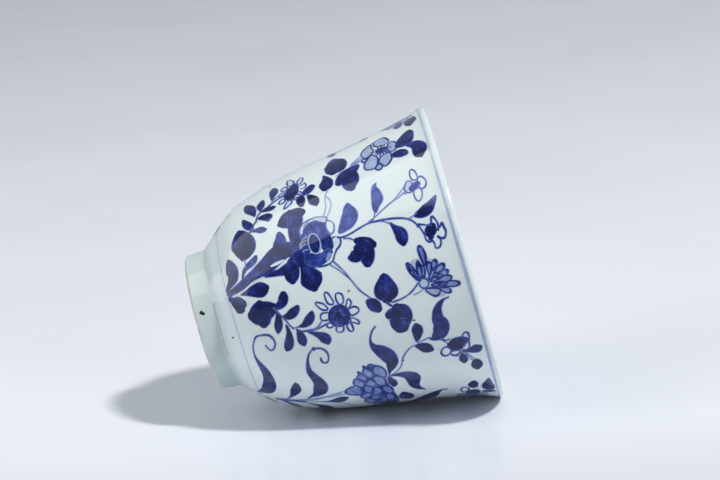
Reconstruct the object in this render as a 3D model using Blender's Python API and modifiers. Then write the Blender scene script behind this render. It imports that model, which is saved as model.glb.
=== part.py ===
"""Handleless flared teacup: a turned porcelain bowl standing on a turned foot ring.

Metres, +Z up. The origin is at the centre of the circle that the cup stands on.
"""
import math

import bpy
from mathutils import Vector

# Driving dimensions of the whole cup
CUP_HEIGHT = 0.0700
RIM_RADIUS = 0.0390
FOOT_HEIGHT = 0.0050
FOOT_RADIUS = 0.0182
JOINT_GAP = 0.0003

# Outer side of the bowl, as (radius, height) from above the foot up to below the lip
OUTER_WALL = (
    (0.0212, 0.0085),
    (0.0257, 0.0140),
    (0.0286, 0.0210),
    (0.0311, 0.0300),
    (0.0333, 0.0430),
    (0.0356, 0.0570),
    (0.0374, 0.0650),
)
BELLY_THICKNESS = 0.0034
UPPER_THICKNESS = 0.0018
THINNING = 0.6
LIP_RADIUS = 0.0008
FLOOR_THICKNESS = 0.0034
FLOOR_DISH_RADIUS = 0.0090
FLOOR_DISH_RISE = 0.00015

# Foot ring: the flat land that it stands on, and its rounded lower edges
LAND_OUTER_RADIUS = 0.0173
LAND_INNER_RADIUS = 0.0156
EDGE_HEIGHT = 0.0006
EDGE_OUTER_RADIUS = 0.0179
EDGE_INNER_RADIUS = 0.0150
FOOT_INNER_RADIUS = 0.0146

# Fineness of the turned surfaces
TURN_STEPS = 64
CURVE_STEPS = 2
LIP_STEPS = 6
MERGE_DISTANCE = 0.00001


def clear_scene():
    for old_object in list(bpy.data.objects):
        bpy.data.objects.remove(old_object, do_unlink=True)


def make_collection(name):
    collection = bpy.data.collections.new(name)
    bpy.context.scene.collection.children.link(collection)
    return collection


def make_material(name, colour, roughness):
    material = bpy.data.materials.new(name)
    material.use_nodes = True
    shader = material.node_tree.nodes["Principled BSDF"]
    shader.inputs["Base Color"].default_value = (*colour, 1.0)
    shader.inputs["Roughness"].default_value = roughness
    shader.inputs["Metallic"].default_value = 0.0
    return material


def smooth_through(points, steps):
    """Points of a smooth (Catmull-Rom) curve that passes through every given point."""
    first = 2 * points[0] - points[1]
    last = 2 * points[-1] - points[-2]
    padded = [first, *points, last]
    curve = []
    for before, start, end, after in zip(padded, padded[1:], padded[2:], padded[3:]):
        for step in range(steps):
            t = step / steps
            place = start * (2 * t**3 - 3 * t**2 + 1) + end * (3 * t**2 - 2 * t**3)
            leaving = (end - before) / 2 * (t**3 - 2 * t**2 + t)
            arriving = (after - start) / 2 * (t**3 - t**2)
            curve.append(place + leaving + arriving)
    curve.append(points[-1])
    return curve


def wall_thickness(height):
    """The wall thins from the belly to just below the lip."""
    low = OUTER_WALL[0][1]
    high = OUTER_WALL[-1][1]
    share = (height - low) / (high - low)
    return BELLY_THICKNESS + (UPPER_THICKNESS - BELLY_THICKNESS) * share**THINNING


def inner_wall(outer_points):
    """The inner side: each outer point moved square to the wall by the wall's thickness."""
    inner_points = []
    for index, point in enumerate(outer_points):
        below = outer_points[max(index - 1, 0)]
        above = outer_points[min(index + 1, len(outer_points) - 1)]
        along = (above - below).normalized()
        inward = Vector((-along.y, along.x))
        inner_points.append(point + inward * wall_thickness(point.y))
    return inner_points


def turn(name, profile, closed, material, collection):
    """A solid turned about Z; the profile's (radius, height) points run down its outer side."""
    mesh = bpy.data.meshes.new(name)
    vertices = [(point.x, 0.0, point.y) for point in profile]
    edges = [(index, index + 1) for index in range(len(vertices) - 1)]
    if closed:
        edges.append((len(vertices) - 1, 0))
    mesh.from_pydata(vertices, edges, [])
    mesh.materials.append(material)
    turned = bpy.data.objects.new(name, mesh)
    collection.objects.link(turned)
    screw = turned.modifiers.new("Turn", "SCREW")
    screw.axis = "Z"
    screw.steps = TURN_STEPS
    screw.render_steps = TURN_STEPS
    screw.use_merge_vertices = True
    screw.merge_threshold = MERGE_DISTANCE
    screw.use_smooth_shade = True
    return turned


def make_bowl(material, collection):
    """Thick rounded belly, straight flaring wall, rounded lip and a flat underside."""
    base_height = FOOT_HEIGHT + JOINT_GAP / 2
    floor_height = base_height + FLOOR_THICKNESS
    lip_centre = Vector((RIM_RADIUS - LIP_RADIUS, CUP_HEIGHT - LIP_RADIUS))

    lip = []
    for step in range(LIP_STEPS):
        angle = math.pi * step / LIP_STEPS
        lip.append(lip_centre + LIP_RADIUS * Vector((math.cos(angle), math.sin(angle))))

    wall_points = [Vector(point) for point in OUTER_WALL]
    outer_points = [Vector((FOOT_RADIUS, base_height)), *wall_points, lip[0]]
    floor_points = [
        Vector((0.0, floor_height)),
        Vector((FLOOR_DISH_RADIUS, floor_height + FLOOR_DISH_RISE)),
    ]
    inner_points = [*floor_points, *inner_wall(wall_points), lip[-1]]

    outer = smooth_through(outer_points, CURVE_STEPS)
    inner = smooth_through(inner_points, CURVE_STEPS)
    underside_centre = Vector((0.0, base_height))
    profile = [*inner[:-1], *reversed(lip), *reversed(outer[:-1]), underside_centre]
    return turn("bowl", profile, False, material, collection)


def make_foot_ring(material, collection):
    """A low ring with a flat land to stand on, leaning in slightly towards the land."""
    top_height = FOOT_HEIGHT - JOINT_GAP / 2
    profile = [
        Vector((FOOT_RADIUS, top_height)),
        Vector((EDGE_OUTER_RADIUS, EDGE_HEIGHT)),
        Vector((LAND_OUTER_RADIUS, 0.0)),
        Vector((LAND_INNER_RADIUS, 0.0)),
        Vector((EDGE_INNER_RADIUS, EDGE_HEIGHT)),
        Vector((FOOT_INNER_RADIUS, top_height)),
    ]
    return turn("foot_ring", profile, True, material, collection)


def main():
    clear_scene()
    cup_parts = make_collection("teacup")
    glazed_porcelain = make_material("glazed_porcelain", (0.80, 0.86, 0.87), 0.12)
    foot_porcelain = make_material("foot_porcelain", (0.74, 0.80, 0.80), 0.18)
    make_bowl(glazed_porcelain, cup_parts)
    make_foot_ring(foot_porcelain, cup_parts)


main()
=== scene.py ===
import math
import random

import bpy
from mathutils import Matrix, Vector


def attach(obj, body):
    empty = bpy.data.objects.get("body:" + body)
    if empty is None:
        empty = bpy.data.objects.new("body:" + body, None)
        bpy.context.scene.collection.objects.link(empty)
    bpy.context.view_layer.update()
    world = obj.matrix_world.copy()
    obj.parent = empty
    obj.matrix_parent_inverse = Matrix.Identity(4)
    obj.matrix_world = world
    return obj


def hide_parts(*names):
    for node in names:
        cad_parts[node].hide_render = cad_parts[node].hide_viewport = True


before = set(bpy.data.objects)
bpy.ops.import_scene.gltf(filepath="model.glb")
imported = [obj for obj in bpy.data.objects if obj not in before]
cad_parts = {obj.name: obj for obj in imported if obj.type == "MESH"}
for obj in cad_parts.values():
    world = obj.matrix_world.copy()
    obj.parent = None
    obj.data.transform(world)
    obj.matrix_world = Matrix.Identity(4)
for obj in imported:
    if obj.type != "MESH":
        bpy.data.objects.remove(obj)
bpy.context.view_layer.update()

mm = 0.001
print("frame loaded")


def smoothThrough(points, steps):
    # a smooth curve through every point, steps pieces between two neighbours
    points = [Vector(point) for point in points]
    padded = [2 * points[0] - points[1], *points, 2 * points[-1] - points[-2]]
    curve = []
    for before, start, end, after in zip(padded, padded[1:], padded[2:], padded[3:]):
        for step in range(steps):
            t = step / steps
            place = start * (2 * t**3 - 3 * t**2 + 1) + end * (3 * t**2 - 2 * t**3)
            leaving = (end - before) / 2 * (t**3 - 2 * t**2 + t)
            arriving = (after - start) / 2 * (t**3 - t**2)
            curve.append(place + leaving + arriving)
    curve.append(points[-1])
    return curve


def evenly(points, spacing):
    # the same line with its points about spacing apart; values beyond x and y go along
    lengths = [0.0]
    for start, end in zip(points, points[1:]):
        lengths.append(lengths[-1] + math.hypot(end[0] - start[0], end[1] - start[1]))
    count = max(3, round(lengths[-1] / spacing))
    even = []
    place = 0
    for index in range(count + 1):
        wanted = lengths[-1] * index / count
        while place < len(points) - 2 and lengths[place + 1] < wanted:
            place += 1
        gap = lengths[place + 1] - lengths[place]
        share = min(max((wanted - lengths[place]) / gap, 0.0), 1.0) if gap else 0.0
        even.append(points[place].lerp(points[place + 1], share))
    return even


def lineObject(name, points):
    # a bare line of points and edges, as a source for the node trees
    mesh = bpy.data.meshes.new(name)
    edges = [(index, index + 1) for index in range(len(points) - 1)]
    mesh.from_pydata(points, edges, [])
    helper = bpy.data.objects.new(name, mesh)
    bpy.context.scene.collection.objects.link(helper)
    return helper


# sizes of the cup in mm, and points as (radius, height)
cupShape = {
    "height": 70.0,
    "rimRadius": 39.0,
    "lipRadius": 0.8,
    "lipEnd": 150,            # where the round of the lip meets the inner wall, in degrees
    "lipSteps": 14,
    "outerWall": [
        (21.2, 8.5), (25.7, 14.0), (28.6, 21.0), (31.1, 30.0), (33.3, 43.0), (35.6, 57.0), (37.4, 65.0),
    ],
    "outerSteps": 9,
    "innerSteps": 8,
    "bellyThickness": 3.4,
    "upperThickness": 1.8,
    "thinning": 0.6,
    "floorHeight": 8.55,
    "floorDish": (9.0, 0.15),  # a radius, and how much higher the floor is there than in the middle
    "undersideHeight": 5.15,
    "footRadius": 18.2,
    "wallFoot": (18.12, 5.0),
    "filletTop": 6.1,
    "glazeEndHeight": 0.34,
    "turnSegments": 288,
}


def wallThickness(height):
    low = cupShape["outerWall"][0][1]
    high = cupShape["outerWall"][-1][1]
    share = (height - low) / (high - low)
    change = cupShape["upperThickness"] - cupShape["bellyThickness"]
    return cupShape["bellyThickness"] + change * share ** cupShape["thinning"]


def outerOutline():
    lipHeight = cupShape["height"] - cupShape["lipRadius"]
    start = (cupShape["footRadius"], cupShape["undersideHeight"])
    points = [start, *cupShape["outerWall"], (cupShape["rimRadius"], lipHeight)]
    return smoothThrough(points, cupShape["outerSteps"])


def lipPoint(degrees):
    # a point of the round lip, at an angle from straight outwards
    lip = cupShape["lipRadius"]
    centre = Vector((cupShape["rimRadius"] - lip, cupShape["height"] - lip))
    angle = math.radians(degrees)
    return centre + lip * Vector((math.cos(angle), math.sin(angle)))


def innerOutline():
    wall = [Vector(point) for point in cupShape["outerWall"]]
    dishRadius, dishRise = cupShape["floorDish"]
    floor = cupShape["floorHeight"]
    inner = [Vector((0.0, floor)), Vector((dishRadius, floor + dishRise))]
    for index, point in enumerate(wall):
        along = (wall[min(index + 1, len(wall) - 1)] - wall[max(index - 1, 0)]).normalized()
        inner.append(point + Vector((-along.y, along.x)) * wallThickness(point.y))
    inner.append(lipPoint(cupShape["lipEnd"]))
    return smoothThrough(inner, cupShape["innerSteps"])


def cupOutline():
    # from the middle of the tea well, over the lip and down the outside, to the middle of the recess
    end = cupShape["lipEnd"]
    steps = cupShape["lipSteps"]
    lip = [lipPoint(end - step * end / steps) for step in range(1, steps)]
    outside = [point for point in reversed(outerOutline()) if point.y > cupShape["filletTop"]]
    fillet = [Vector(point) for point in ((18.75, 5.78), (18.48, 5.45), (18.3, 5.12), (18.21, 4.75))]
    footSide = [(18.19, 4.3), (18.1, 3.0), (18.0, 1.8), (17.95, 0.9), (17.86, 0.55), (17.66, 0.38)]
    glazeEnd = cupShape["glazeEndHeight"]
    underFoot = [Vector((17.4, glazeEnd)), Vector((15.4, glazeEnd))]
    innerFoot = [(15.16, 0.42), (14.98, 0.7), (14.86, 1.6), (14.74, 2.8), (14.66, 4.0)]
    under = cupShape["undersideHeight"]
    recess = [(14.45, 4.75), (13.9, 5.08), (12.0, under), (8.0, under), (4.0, under), (0.0, under)]
    outer = [*innerOutline(), *lip, *outside, *fillet, *smoothThrough(footSide, 4)]
    return [*outer, *underFoot, *smoothThrough(innerFoot, 3), *smoothThrough(recess, 3)]


def wallLine():
    # the outer wall upwards from the foot; distance along it is the painter's height on the cup
    return [Vector(cupShape["wallFoot"]), *outerOutline()]


def wallPoint(distance):
    points = wallLine()
    travelled = 0.0
    for start, end in zip(points, points[1:]):
        gap = (end - start).length
        if travelled + gap >= distance:
            return start.lerp(end, (distance - travelled) / gap)
        travelled += gap
    return points[-1]


def addNode(tree, kind, inputs=None, **settings):
    node = tree.nodes.new(kind)
    for name, value in settings.items():
        setattr(node, name, value)
    for name, value in (inputs or {}).items():
        socket = node.inputs[name]
        if isinstance(value, bpy.types.NodeSocket):
            tree.links.new(value, socket)
        else:
            socket.default_value = value
    return node


def calc(tree, operation, first, second=0.0, third=None):
    inputs = {0: first, 1: second}
    if third is not None:
        inputs[2] = third
    return addNode(tree, "ShaderNodeMath", inputs, operation=operation).outputs[0]


def newTree(name, sockets):
    tree = bpy.data.node_groups.new(name, "GeometryNodeTree")
    tree.interface.new_socket("Geometry", in_out="INPUT", socket_type="NodeSocketGeometry")
    for socketName, kind, value in sockets:
        socket = tree.interface.new_socket(socketName, in_out="INPUT", socket_type=kind)
        if value is not None:
            socket.default_value = value
    tree.interface.new_socket("Geometry", in_out="OUTPUT", socket_type="NodeSocketGeometry")
    start = tree.nodes.new("NodeGroupInput")
    end = tree.nodes.new("NodeGroupOutput")
    return tree, start.outputs, end


def endTree(tree, end, geometry, material):
    smooth = addNode(tree, "GeometryNodeSetShadeSmooth", {"Geometry": geometry})
    real = addNode(tree, "GeometryNodeRealizeInstances", {"Geometry": smooth.outputs[0]})
    finish = addNode(tree, "GeometryNodeSetMaterial", {"Geometry": real.outputs[0], "Material": material})
    tree.links.new(finish.outputs[0], end.inputs[0])


def grown(name, source, tree, values):
    # runs the tree on a copy of the source mesh and returns its result as a plain mesh object
    host = bpy.data.objects.new(name + "Host", source)
    bpy.context.scene.collection.objects.link(host)
    modifier = host.modifiers.new("grow", "NODES")
    modifier.node_group = tree
    for item in tree.interface.items_tree:
        if item.in_out == "INPUT" and item.name in values:
            modifier[item.identifier] = values[item.name]
    depsgraph = bpy.context.evaluated_depsgraph_get()
    mesh = bpy.data.meshes.new_from_object(host.evaluated_get(depsgraph), depsgraph=depsgraph)
    mesh.name = name
    bpy.data.objects.remove(host, do_unlink=True)
    piece = bpy.data.objects.new(name, mesh)
    bpy.context.scene.collection.objects.link(piece)
    return piece


def wallObject(name, outline):
    # an outline in mm as a line in the XZ plane, in metres
    return lineObject(name, [(point.x * mm, 0.0, point.y * mm) for point in outline])


def dropHelper(helper):
    mesh = helper.data
    bpy.data.objects.remove(helper, do_unlink=True)
    bpy.data.meshes.remove(mesh)


def makeTurningTree():
    tree, given, end = newTree("turnOnWheel", [
        ("Outline", "NodeSocketObject", None),
        ("Rings", "NodeSocketInt", 100),
        ("Segments", "NodeSocketInt", 128),
        ("Merge Distance", "NodeSocketFloat", 0.000004),
        ("Material", "NodeSocketMaterial", None),
    ])
    outline = addNode(tree, "GeometryNodeObjectInfo", {"Object": given["Outline"]})
    columns = calc(tree, "ADD", given["Segments"], 1.0)
    grid = addNode(tree, "GeometryNodeMeshGrid", {"Vertices X": columns, "Vertices Y": given["Rings"]})
    place = addNode(tree, "GeometryNodeInputPosition")
    split = addNode(tree, "ShaderNodeSeparateXYZ", {0: place.outputs[0]})
    turn = calc(tree, "MULTIPLY", calc(tree, "ADD", split.outputs[0], 0.5), 2 * math.pi)
    last = calc(tree, "SUBTRACT", given["Rings"], 1.0)
    ring = calc(tree, "ROUND", calc(tree, "MULTIPLY", calc(tree, "ADD", split.outputs[1], 0.5), last))
    source = {"Geometry": outline.outputs["Geometry"], "Index": ring}
    sample = addNode(tree, "GeometryNodeSampleIndex", source, data_type="FLOAT_VECTOR", domain="POINT")
    sample.clamp = True
    tree.links.new(place.outputs[0], sample.inputs["Value"])
    found = addNode(tree, "ShaderNodeSeparateXYZ", {0: sample.outputs[0]})
    across = calc(tree, "MULTIPLY", found.outputs[0], calc(tree, "SINE", turn))
    towards = calc(tree, "MULTIPLY", found.outputs[0], calc(tree, "COSINE", turn))
    back = calc(tree, "MULTIPLY", towards, -1.0)
    where = addNode(tree, "ShaderNodeCombineXYZ", {0: across, 1: back, 2: found.outputs[2]})
    inputs = {"Geometry": grid.outputs[0], "Position": where.outputs[0]}
    moved = addNode(tree, "GeometryNodeSetPosition", inputs)
    inputs = {"Geometry": moved.outputs[0], "Distance": given["Merge Distance"]}
    merged = addNode(tree, "GeometryNodeMergeByDistance", inputs)
    endTree(tree, end, merged.outputs[0], given["Material"])
    return tree


def turned(name, outline, material):
    helper = wallObject(name + "Outline", outline)
    start = bpy.data.meshes.new(name + "Start")
    values = {"Outline": helper, "Rings": len(outline), "Material": material}
    values["Segments"] = cupShape["turnSegments"]
    piece = grown(name, start, turningTree, values)
    dropHelper(helper)
    return piece


strokeLay = {
    "spacing": 0.4,       # between the points of a stroke, in mm
    "layerLift": 0.012,   # between the bleeding edge, the washes, the strokes and the touches on top, in mm
    "orderLift": 0.0012,  # between one stroke and the next, in mm
    "lineSwell": 1.12,    # how much a thin line spreads when it is fired
    "loopSwell": 1.45,
    "endLength": 0.5,     # of the round ends, in half widths
    "softening": 3,       # rounds of evening out the widths
    "bleed": 0.22,        # how far the blue bleeds into the glaze beside a stroke, in mm
    "bleedFrom": 0.2,     # ink under which a stroke doesn't bleed
    "orderCount": 8,      # strokes before orderLift starts again
    "thinnest": 0.02,     # half widths in mm, of a stroke and of its tip
    "tip": 0.004,
    "phases": 6.28,       # waves start anywhere from 0 to this, in radians
    "lineWaves": ((0.16, 9.0), (0.08, 23.0)),   # share of the width, radians along a line
    "loopWave": (0.18, 12.6),
    "curveSteps": 8,
    "loopSteps": 6,
    "washSteps": 4,
    "washStations": 9,
    "washInset": 0.04,    # share of a wash's length left free at each end
}


def makeBrushTree():
    tree, given, end = newTree("layBrushStrokes", [
        ("Wall", "NodeSocketObject", None),
        ("Turn", "NodeSocketFloat", 0.0),
        ("Broad Points", "NodeSocketInt", 9),
        ("Thin Points", "NodeSocketInt", 3),
        ("Material", "NodeSocketMaterial", None),
    ])
    width = addNode(tree, "GeometryNodeInputNamedAttribute", {"Name": "halfWidth"}, data_type="FLOAT")
    broad = addNode(tree, "GeometryNodeInputNamedAttribute", {"Name": "broad"}, data_type="FLOAT")
    isBroad = calc(tree, "GREATER_THAN", broad.outputs[0], 0.5)   # broad holds 0 or 1
    curves = addNode(tree, "GeometryNodeMeshToCurve", {"Mesh": given["Geometry"]})
    upright = addNode(tree, "GeometryNodeSetCurveNormal", {"Curve": curves.outputs[0]}, mode="Z_UP")
    inputs = {"Geometry": upright.outputs[0], "Selection": isBroad}
    parted = addNode(tree, "GeometryNodeSeparateGeometry", inputs, domain="POINT")
    ribbons = []
    for index, count in enumerate(("Broad Points", "Thin Points")):
        inputs = {"Count": given[count], "Start Location": (-1.0, 0.0, 0.0), "Offset": (1.0, 0.0, 0.0)}
        line = addNode(tree, "GeometryNodeMeshLine", inputs, mode="END_POINTS")
        place = addNode(tree, "GeometryNodeInputPosition")
        side = addNode(tree, "ShaderNodeSeparateXYZ", {0: place.outputs[0]})
        inputs = {"Geometry": line.outputs[0], "Name": "across", "Value": side.outputs[0]}
        named = addNode(tree, "GeometryNodeStoreNamedAttribute", inputs, data_type="FLOAT", domain="POINT")
        edge = addNode(tree, "GeometryNodeMeshToCurve", {"Mesh": named.outputs[0]})
        inputs = {"Curve": parted.outputs[index], "Profile Curve": edge.outputs[0]}
        inputs["Scale"] = width.outputs[0]
        ribbons.append(addNode(tree, "GeometryNodeCurveToMesh", inputs).outputs[0])
    joined = addNode(tree, "GeometryNodeJoinGeometry")
    for ribbon in ribbons:
        tree.links.new(ribbon, joined.inputs[0])
    place = addNode(tree, "GeometryNodeInputPosition")
    flat = addNode(tree, "ShaderNodeSeparateXYZ", {0: place.outputs[0]})
    lift = addNode(tree, "GeometryNodeInputNamedAttribute", {"Name": "lift"}, data_type="FLOAT").outputs[0]
    wall = addNode(tree, "GeometryNodeObjectInfo", {"Object": given["Wall"]})
    wallCurve = addNode(tree, "GeometryNodeMeshToCurve", {"Mesh": wall.outputs["Geometry"]})
    inputs = {"Curves": wallCurve.outputs[0], "Length": flat.outputs[1]}
    sample = addNode(tree, "GeometryNodeSampleCurve", inputs, mode="LENGTH", data_type="FLOAT")
    at = addNode(tree, "ShaderNodeSeparateXYZ", {0: sample.outputs["Position"]})
    along = addNode(tree, "ShaderNodeSeparateXYZ", {0: sample.outputs["Tangent"]})
    radius = calc(tree, "MULTIPLY_ADD", along.outputs[2], lift, at.outputs[0])
    height = calc(tree, "SUBTRACT", at.outputs[2], calc(tree, "MULTIPLY", along.outputs[0], lift))
    angle = calc(tree, "ADD", given["Turn"], calc(tree, "DIVIDE", flat.outputs[0], at.outputs[0]))
    sideways = calc(tree, "MULTIPLY", radius, calc(tree, "SINE", angle))
    towards = calc(tree, "MULTIPLY", radius, calc(tree, "COSINE", angle))
    back = calc(tree, "MULTIPLY", towards, -1.0)
    where = addNode(tree, "ShaderNodeCombineXYZ", {0: sideways, 1: back, 2: height})
    inputs = {"Geometry": joined.outputs[0], "Position": where.outputs[0]}
    laid = addNode(tree, "GeometryNodeSetPosition", inputs)
    endTree(tree, end, laid.outputs[0], given["Material"])
    return tree


def roundEnd(end, inside):
    # narrowing points beyond a stroke's end, from the outermost inwards
    cap = []
    for degrees in (84, 62, 40, 20):
        angle = math.radians(degrees)
        reach = strokeLay["endLength"] * math.sin(angle)
        outward = (Vector(end[:2]) - Vector(inside[:2])).normalized() * end[2] * reach
        cap.append(Vector((end[0] + outward.x, end[1] + outward.y, end[2] * math.cos(angle))))
    return cap


def rounded(points):
    # round ends, so that each stroke starts and stops like a full brush
    head = roundEnd(points[0], points[1])
    tail = roundEnd(points[-1], points[-2])
    return [*head, *points, *reversed(tail)]


class Brush:
    # collects the strokes of one motif, then paints them on the wall as one piece
    def __init__(self, seed, wander=0.0):
        self.random = random.Random(seed)
        self.wander = wander
        self.shift = [self.random.uniform(0.0, strokeLay["phases"]) for _ in range(4)]
        self.points = []
        self.edges = []
        keys = ("halfWidth", "ink", "along", "broad", "lift", "seed", "bleed")
        self.data = {key: [] for key in keys}
        self.count = 0

    def moved(self, point):
        # the second set of sprays on the far side is not an exact copy of the first
        x, y = point[0], point[1]
        if self.wander:
            slow = math.sin(y / 9.0 + self.shift[0])
            quick = math.sin(x / 6.0 + self.shift[1])
            x += self.wander * slow + 0.5 * self.wander * quick
            y += self.wander * 0.6 * math.sin(x / 8.0 + self.shift[2])
        return x, y

    def stroke(self, points, inks, layer, broad):
        # points are (x, y, half width) in mm, inks run from the first to the last point
        points = [Vector((*self.moved(point), max(point[2], strokeLay["thinnest"]))) for point in points]
        even = evenly(points, strokeLay["spacing"])
        seed = self.random.random()
        order = self.count % strokeLay["orderCount"]
        lift = (layer + 2) * strokeLay["layerLift"] + order * strokeLay["orderLift"]
        self.ribbon(rounded(even), inks, lift, seed, broad, 0.0)
        if layer > 0 and max(inks) > strokeLay["bleedFrom"]:
            wide = [Vector((x, y, width + strokeLay["bleed"])) for x, y, width in even]
            lift = strokeLay["layerLift"] + order * strokeLay["orderLift"]
            self.ribbon(rounded(wide), inks, lift, seed, broad, 1.0)
        self.count += 1

    def ribbon(self, even, inks, lift, seed, broad, bleed):
        start = len(self.points)
        for index, point in enumerate(even):
            share = index / (len(even) - 1)
            place = share * (len(inks) - 1)
            low = min(int(place), len(inks) - 2)
            ink = inks[low] + (inks[low + 1] - inks[low]) * (place - low)
            self.points.append((point[0] * mm, point[1] * mm, 0.0))
            self.data["halfWidth"].append(max(point[2], strokeLay["tip"]) * mm)
            self.data["ink"].append(ink)
            self.data["along"].append(share)
            self.data["broad"].append(1.0 if broad else 0.0)
            self.data["lift"].append(lift * mm)
            self.data["seed"].append(seed)
            self.data["bleed"].append(bleed)
            if index:
                self.edges.append((start + index - 1, start + index))

    def blade(self, points, *inks, layer=1):
        # one press of the full brush: a leaf, a lobe or a petal
        inks = inks or (1.0,)
        inks = inks if len(inks) > 1 else (inks[0], inks[0])
        squared = smoothThrough([(x, y, width * width) for x, y, width in points], strokeLay["curveSteps"])
        squared = evenly(squared, strokeLay["spacing"])
        for _ in range(strokeLay["softening"]):
            widths = [max(point.z, 0.0) for point in squared]
            for index in range(1, len(squared) - 1):
                squared[index].z = (widths[index - 1] + 2 * widths[index] + widths[index + 1]) / 4
        drawn = [(point.x, point.y, math.sqrt(max(point.z, 0.0))) for point in squared]
        self.stroke(drawn, inks, layer, True)

    def line(self, points, ink=0.8, width=0.25, layer=2):
        # a thin line drawn with the tip, a little uneven in width
        curve = smoothThrough([Vector((*point, 0.0)) for point in points], strokeLay["curveSteps"])
        phase = self.random.uniform(0.0, strokeLay["phases"])
        drawn = []
        for index, point in enumerate(curve):
            share = index / (len(curve) - 1)
            wave = 1.0
            for strength, length in strokeLay["lineWaves"]:
                wave += strength * math.sin(share * length + phase)
            drawn.append((point.x, point.y, width / 2 * wave * strokeLay["lineSwell"]))
        self.stroke(drawn, (ink, ink), layer, False)

    def loop(self, points, ink=0.8, width=0.25, wash=0.0, layer=2):
        # an outlined petal, with a pale wash inside where wash is not 0
        if wash:
            self.wash(points, wash)
        ring = [*points, points[0]]
        ends = [Vector((*point, 0.0)) for point in ring]
        overlapping = [ends[-2], *ends, ends[1]]
        steps = strokeLay["loopSteps"]
        curve = smoothThrough(overlapping, steps)[steps:-steps]
        phase = self.random.uniform(0.0, strokeLay["phases"])
        strength, length = strokeLay["loopWave"]
        drawn = []
        for index, point in enumerate(curve):
            wave = 1.0 + strength * math.sin(index / len(curve) * length + phase)
            drawn.append((point.x, point.y, width / 2 * wave * strokeLay["loopSwell"]))
        self.stroke(drawn, (ink, ink), layer, False)

    def wash(self, points, *inks, layer=0):
        # a broad stroke that fills the outline, along its longest way across
        closed = [Vector((*point, 0.0)) for point in [*points, points[0]]]
        ring = smoothThrough(closed, strokeLay["washSteps"])
        pairs = [(first, second) for first in points for second in points]
        start, end = max(pairs, key=lambda pair: math.dist(pair[0], pair[1]))
        axis = Vector((end[0] - start[0], end[1] - start[1]))
        length = axis.length
        axis.normalize()
        side = Vector((-axis.y, axis.x))
        stations = strokeLay["washStations"]
        inset = strokeLay["washInset"]
        filled = []
        for station in range(stations):
            wanted = length * (inset + (1.0 - 2 * inset) * station / (stations - 1))
            crossings = []
            for first, second in zip(ring, ring[1:]):
                low = (first.x - start[0]) * axis.x + (first.y - start[1]) * axis.y - wanted
                high = (second.x - start[0]) * axis.x + (second.y - start[1]) * axis.y - wanted
                if low * high < 0:
                    point = first.lerp(second, low / (low - high))
                    crossings.append((point.x - start[0]) * side.x + (point.y - start[1]) * side.y)
            if len(crossings) > 1:
                middle = (max(crossings) + min(crossings)) / 2
                half = (max(crossings) - min(crossings)) / 2
                centre = Vector(start) + axis * wanted + side * middle
                filled.append((centre.x, centre.y, half))
        if len(filled) > 2:
            inks = inks if len(inks) > 1 else (inks[0], inks[0])
            self.stroke(filled, inks, layer, True)

    def dot(self, x, y, radius, ink=1.0, layer=3):
        # a short broad stroke whose round ends make it about as long as it is wide
        reach = radius * (1.0 - strokeLay["endLength"]) + strokeLay["thinnest"]
        across = ((-1.0, 0.90), (-0.5, 0.98), (0.0, 1.0), (0.5, 0.98), (1.0, 0.90))
        drawn = [(x + reach * share, y, radius * wide) for share, wide in across]
        self.stroke(drawn, (ink, ink), layer, True)

    def paint(self, name, turn, material, wall=None):
        mesh = bpy.data.meshes.new(name + "Strokes")
        mesh.from_pydata(self.points, self.edges, [])
        for key, values in self.data.items():
            attribute = mesh.attributes.new(key, "FLOAT", "POINT")
            attribute.data.foreach_set("value", values)
        values = {"Wall": wall or wallHelper, "Turn": math.radians(turn), "Material": material}
        return grown(name, mesh, brushTree, values)


turningTree = makeTurningTree()
brushTree = makeBrushTree()
wallHelper = wallObject("wallLine", wallLine())
print("node trees ready")


glazeLook = {
    "pale": (0.715, 0.797, 0.806, 1.0),
    "deep": (0.610, 0.720, 0.740, 1.0),
    # the colour of the painted shade on the foot
    "pool": (0.480, 0.580, 0.580, 1.0),
    "cloudScale": 38.0,
    "footShadeFrom": 0.0078,    # heights in metres between which the painted shade of the foot sets in
    "poolTo": 0.0048,
    "footShadeStrength": 0.9,
    "landTone": 0.78,      # share of that painted shade left down at the land
    "landFrom": 0.0004,
    "landTo": 0.0050,
    "speck": (0.20, 0.19, 0.18, 1.0),
    "speckScale": 210.0,
    "speckSize": 0.045,
    "speckRarity": 0.80,
    "speckStrength": 0.30,
    "roughness": 0.07,
    "glossScale": 120.0,
    "ior": 1.45,
    "peel": 0.12,
    "peelScale": 900.0,
    "waveScale": 85.0,
    "waveHeight": 5.0,     # against the height of the peel
    "peelDepth": 0.00002,
}


def newMaterial(name):
    material = bpy.data.materials.new(name)
    material.use_nodes = True
    tree = material.node_tree
    shader = tree.nodes["Principled BSDF"]
    return material, tree, shader


def objectPlace(tree):
    return addNode(tree, "ShaderNodeTexCoord").outputs["Object"]


def noise(tree, vector, scale, detail=3.0):
    inputs = {"Vector": vector, "Scale": scale, "Detail": detail}
    return addNode(tree, "ShaderNodeTexNoise", inputs).outputs["Fac"]


def ramp(tree, value, stops):
    node = addNode(tree, "ShaderNodeValToRGB", {"Fac": value})
    elements = node.color_ramp.elements
    while len(elements) < len(stops):
        elements.new(0.5)
    for element, (position, colour) in zip(elements, stops):
        element.position = position
        element.color = (*colour, 1.0)
    return node.outputs["Color"]


def spread(tree, value, low, high, newLow=0.0, newHigh=1.0):
    inputs = {0: value, 1: low, 2: high, 3: newLow, 4: newHigh}
    return addNode(tree, "ShaderNodeMapRange", inputs).outputs[0]


def mixColour(tree, share, first, second):
    node = addNode(tree, "ShaderNodeMix", data_type="RGBA")
    for socket, value in ((node.inputs[0], share), (node.inputs[6], first), (node.inputs[7], second)):
        if isinstance(value, bpy.types.NodeSocket):
            tree.links.new(value, socket)
        else:
            socket.default_value = value
    return node.outputs[2]


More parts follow.
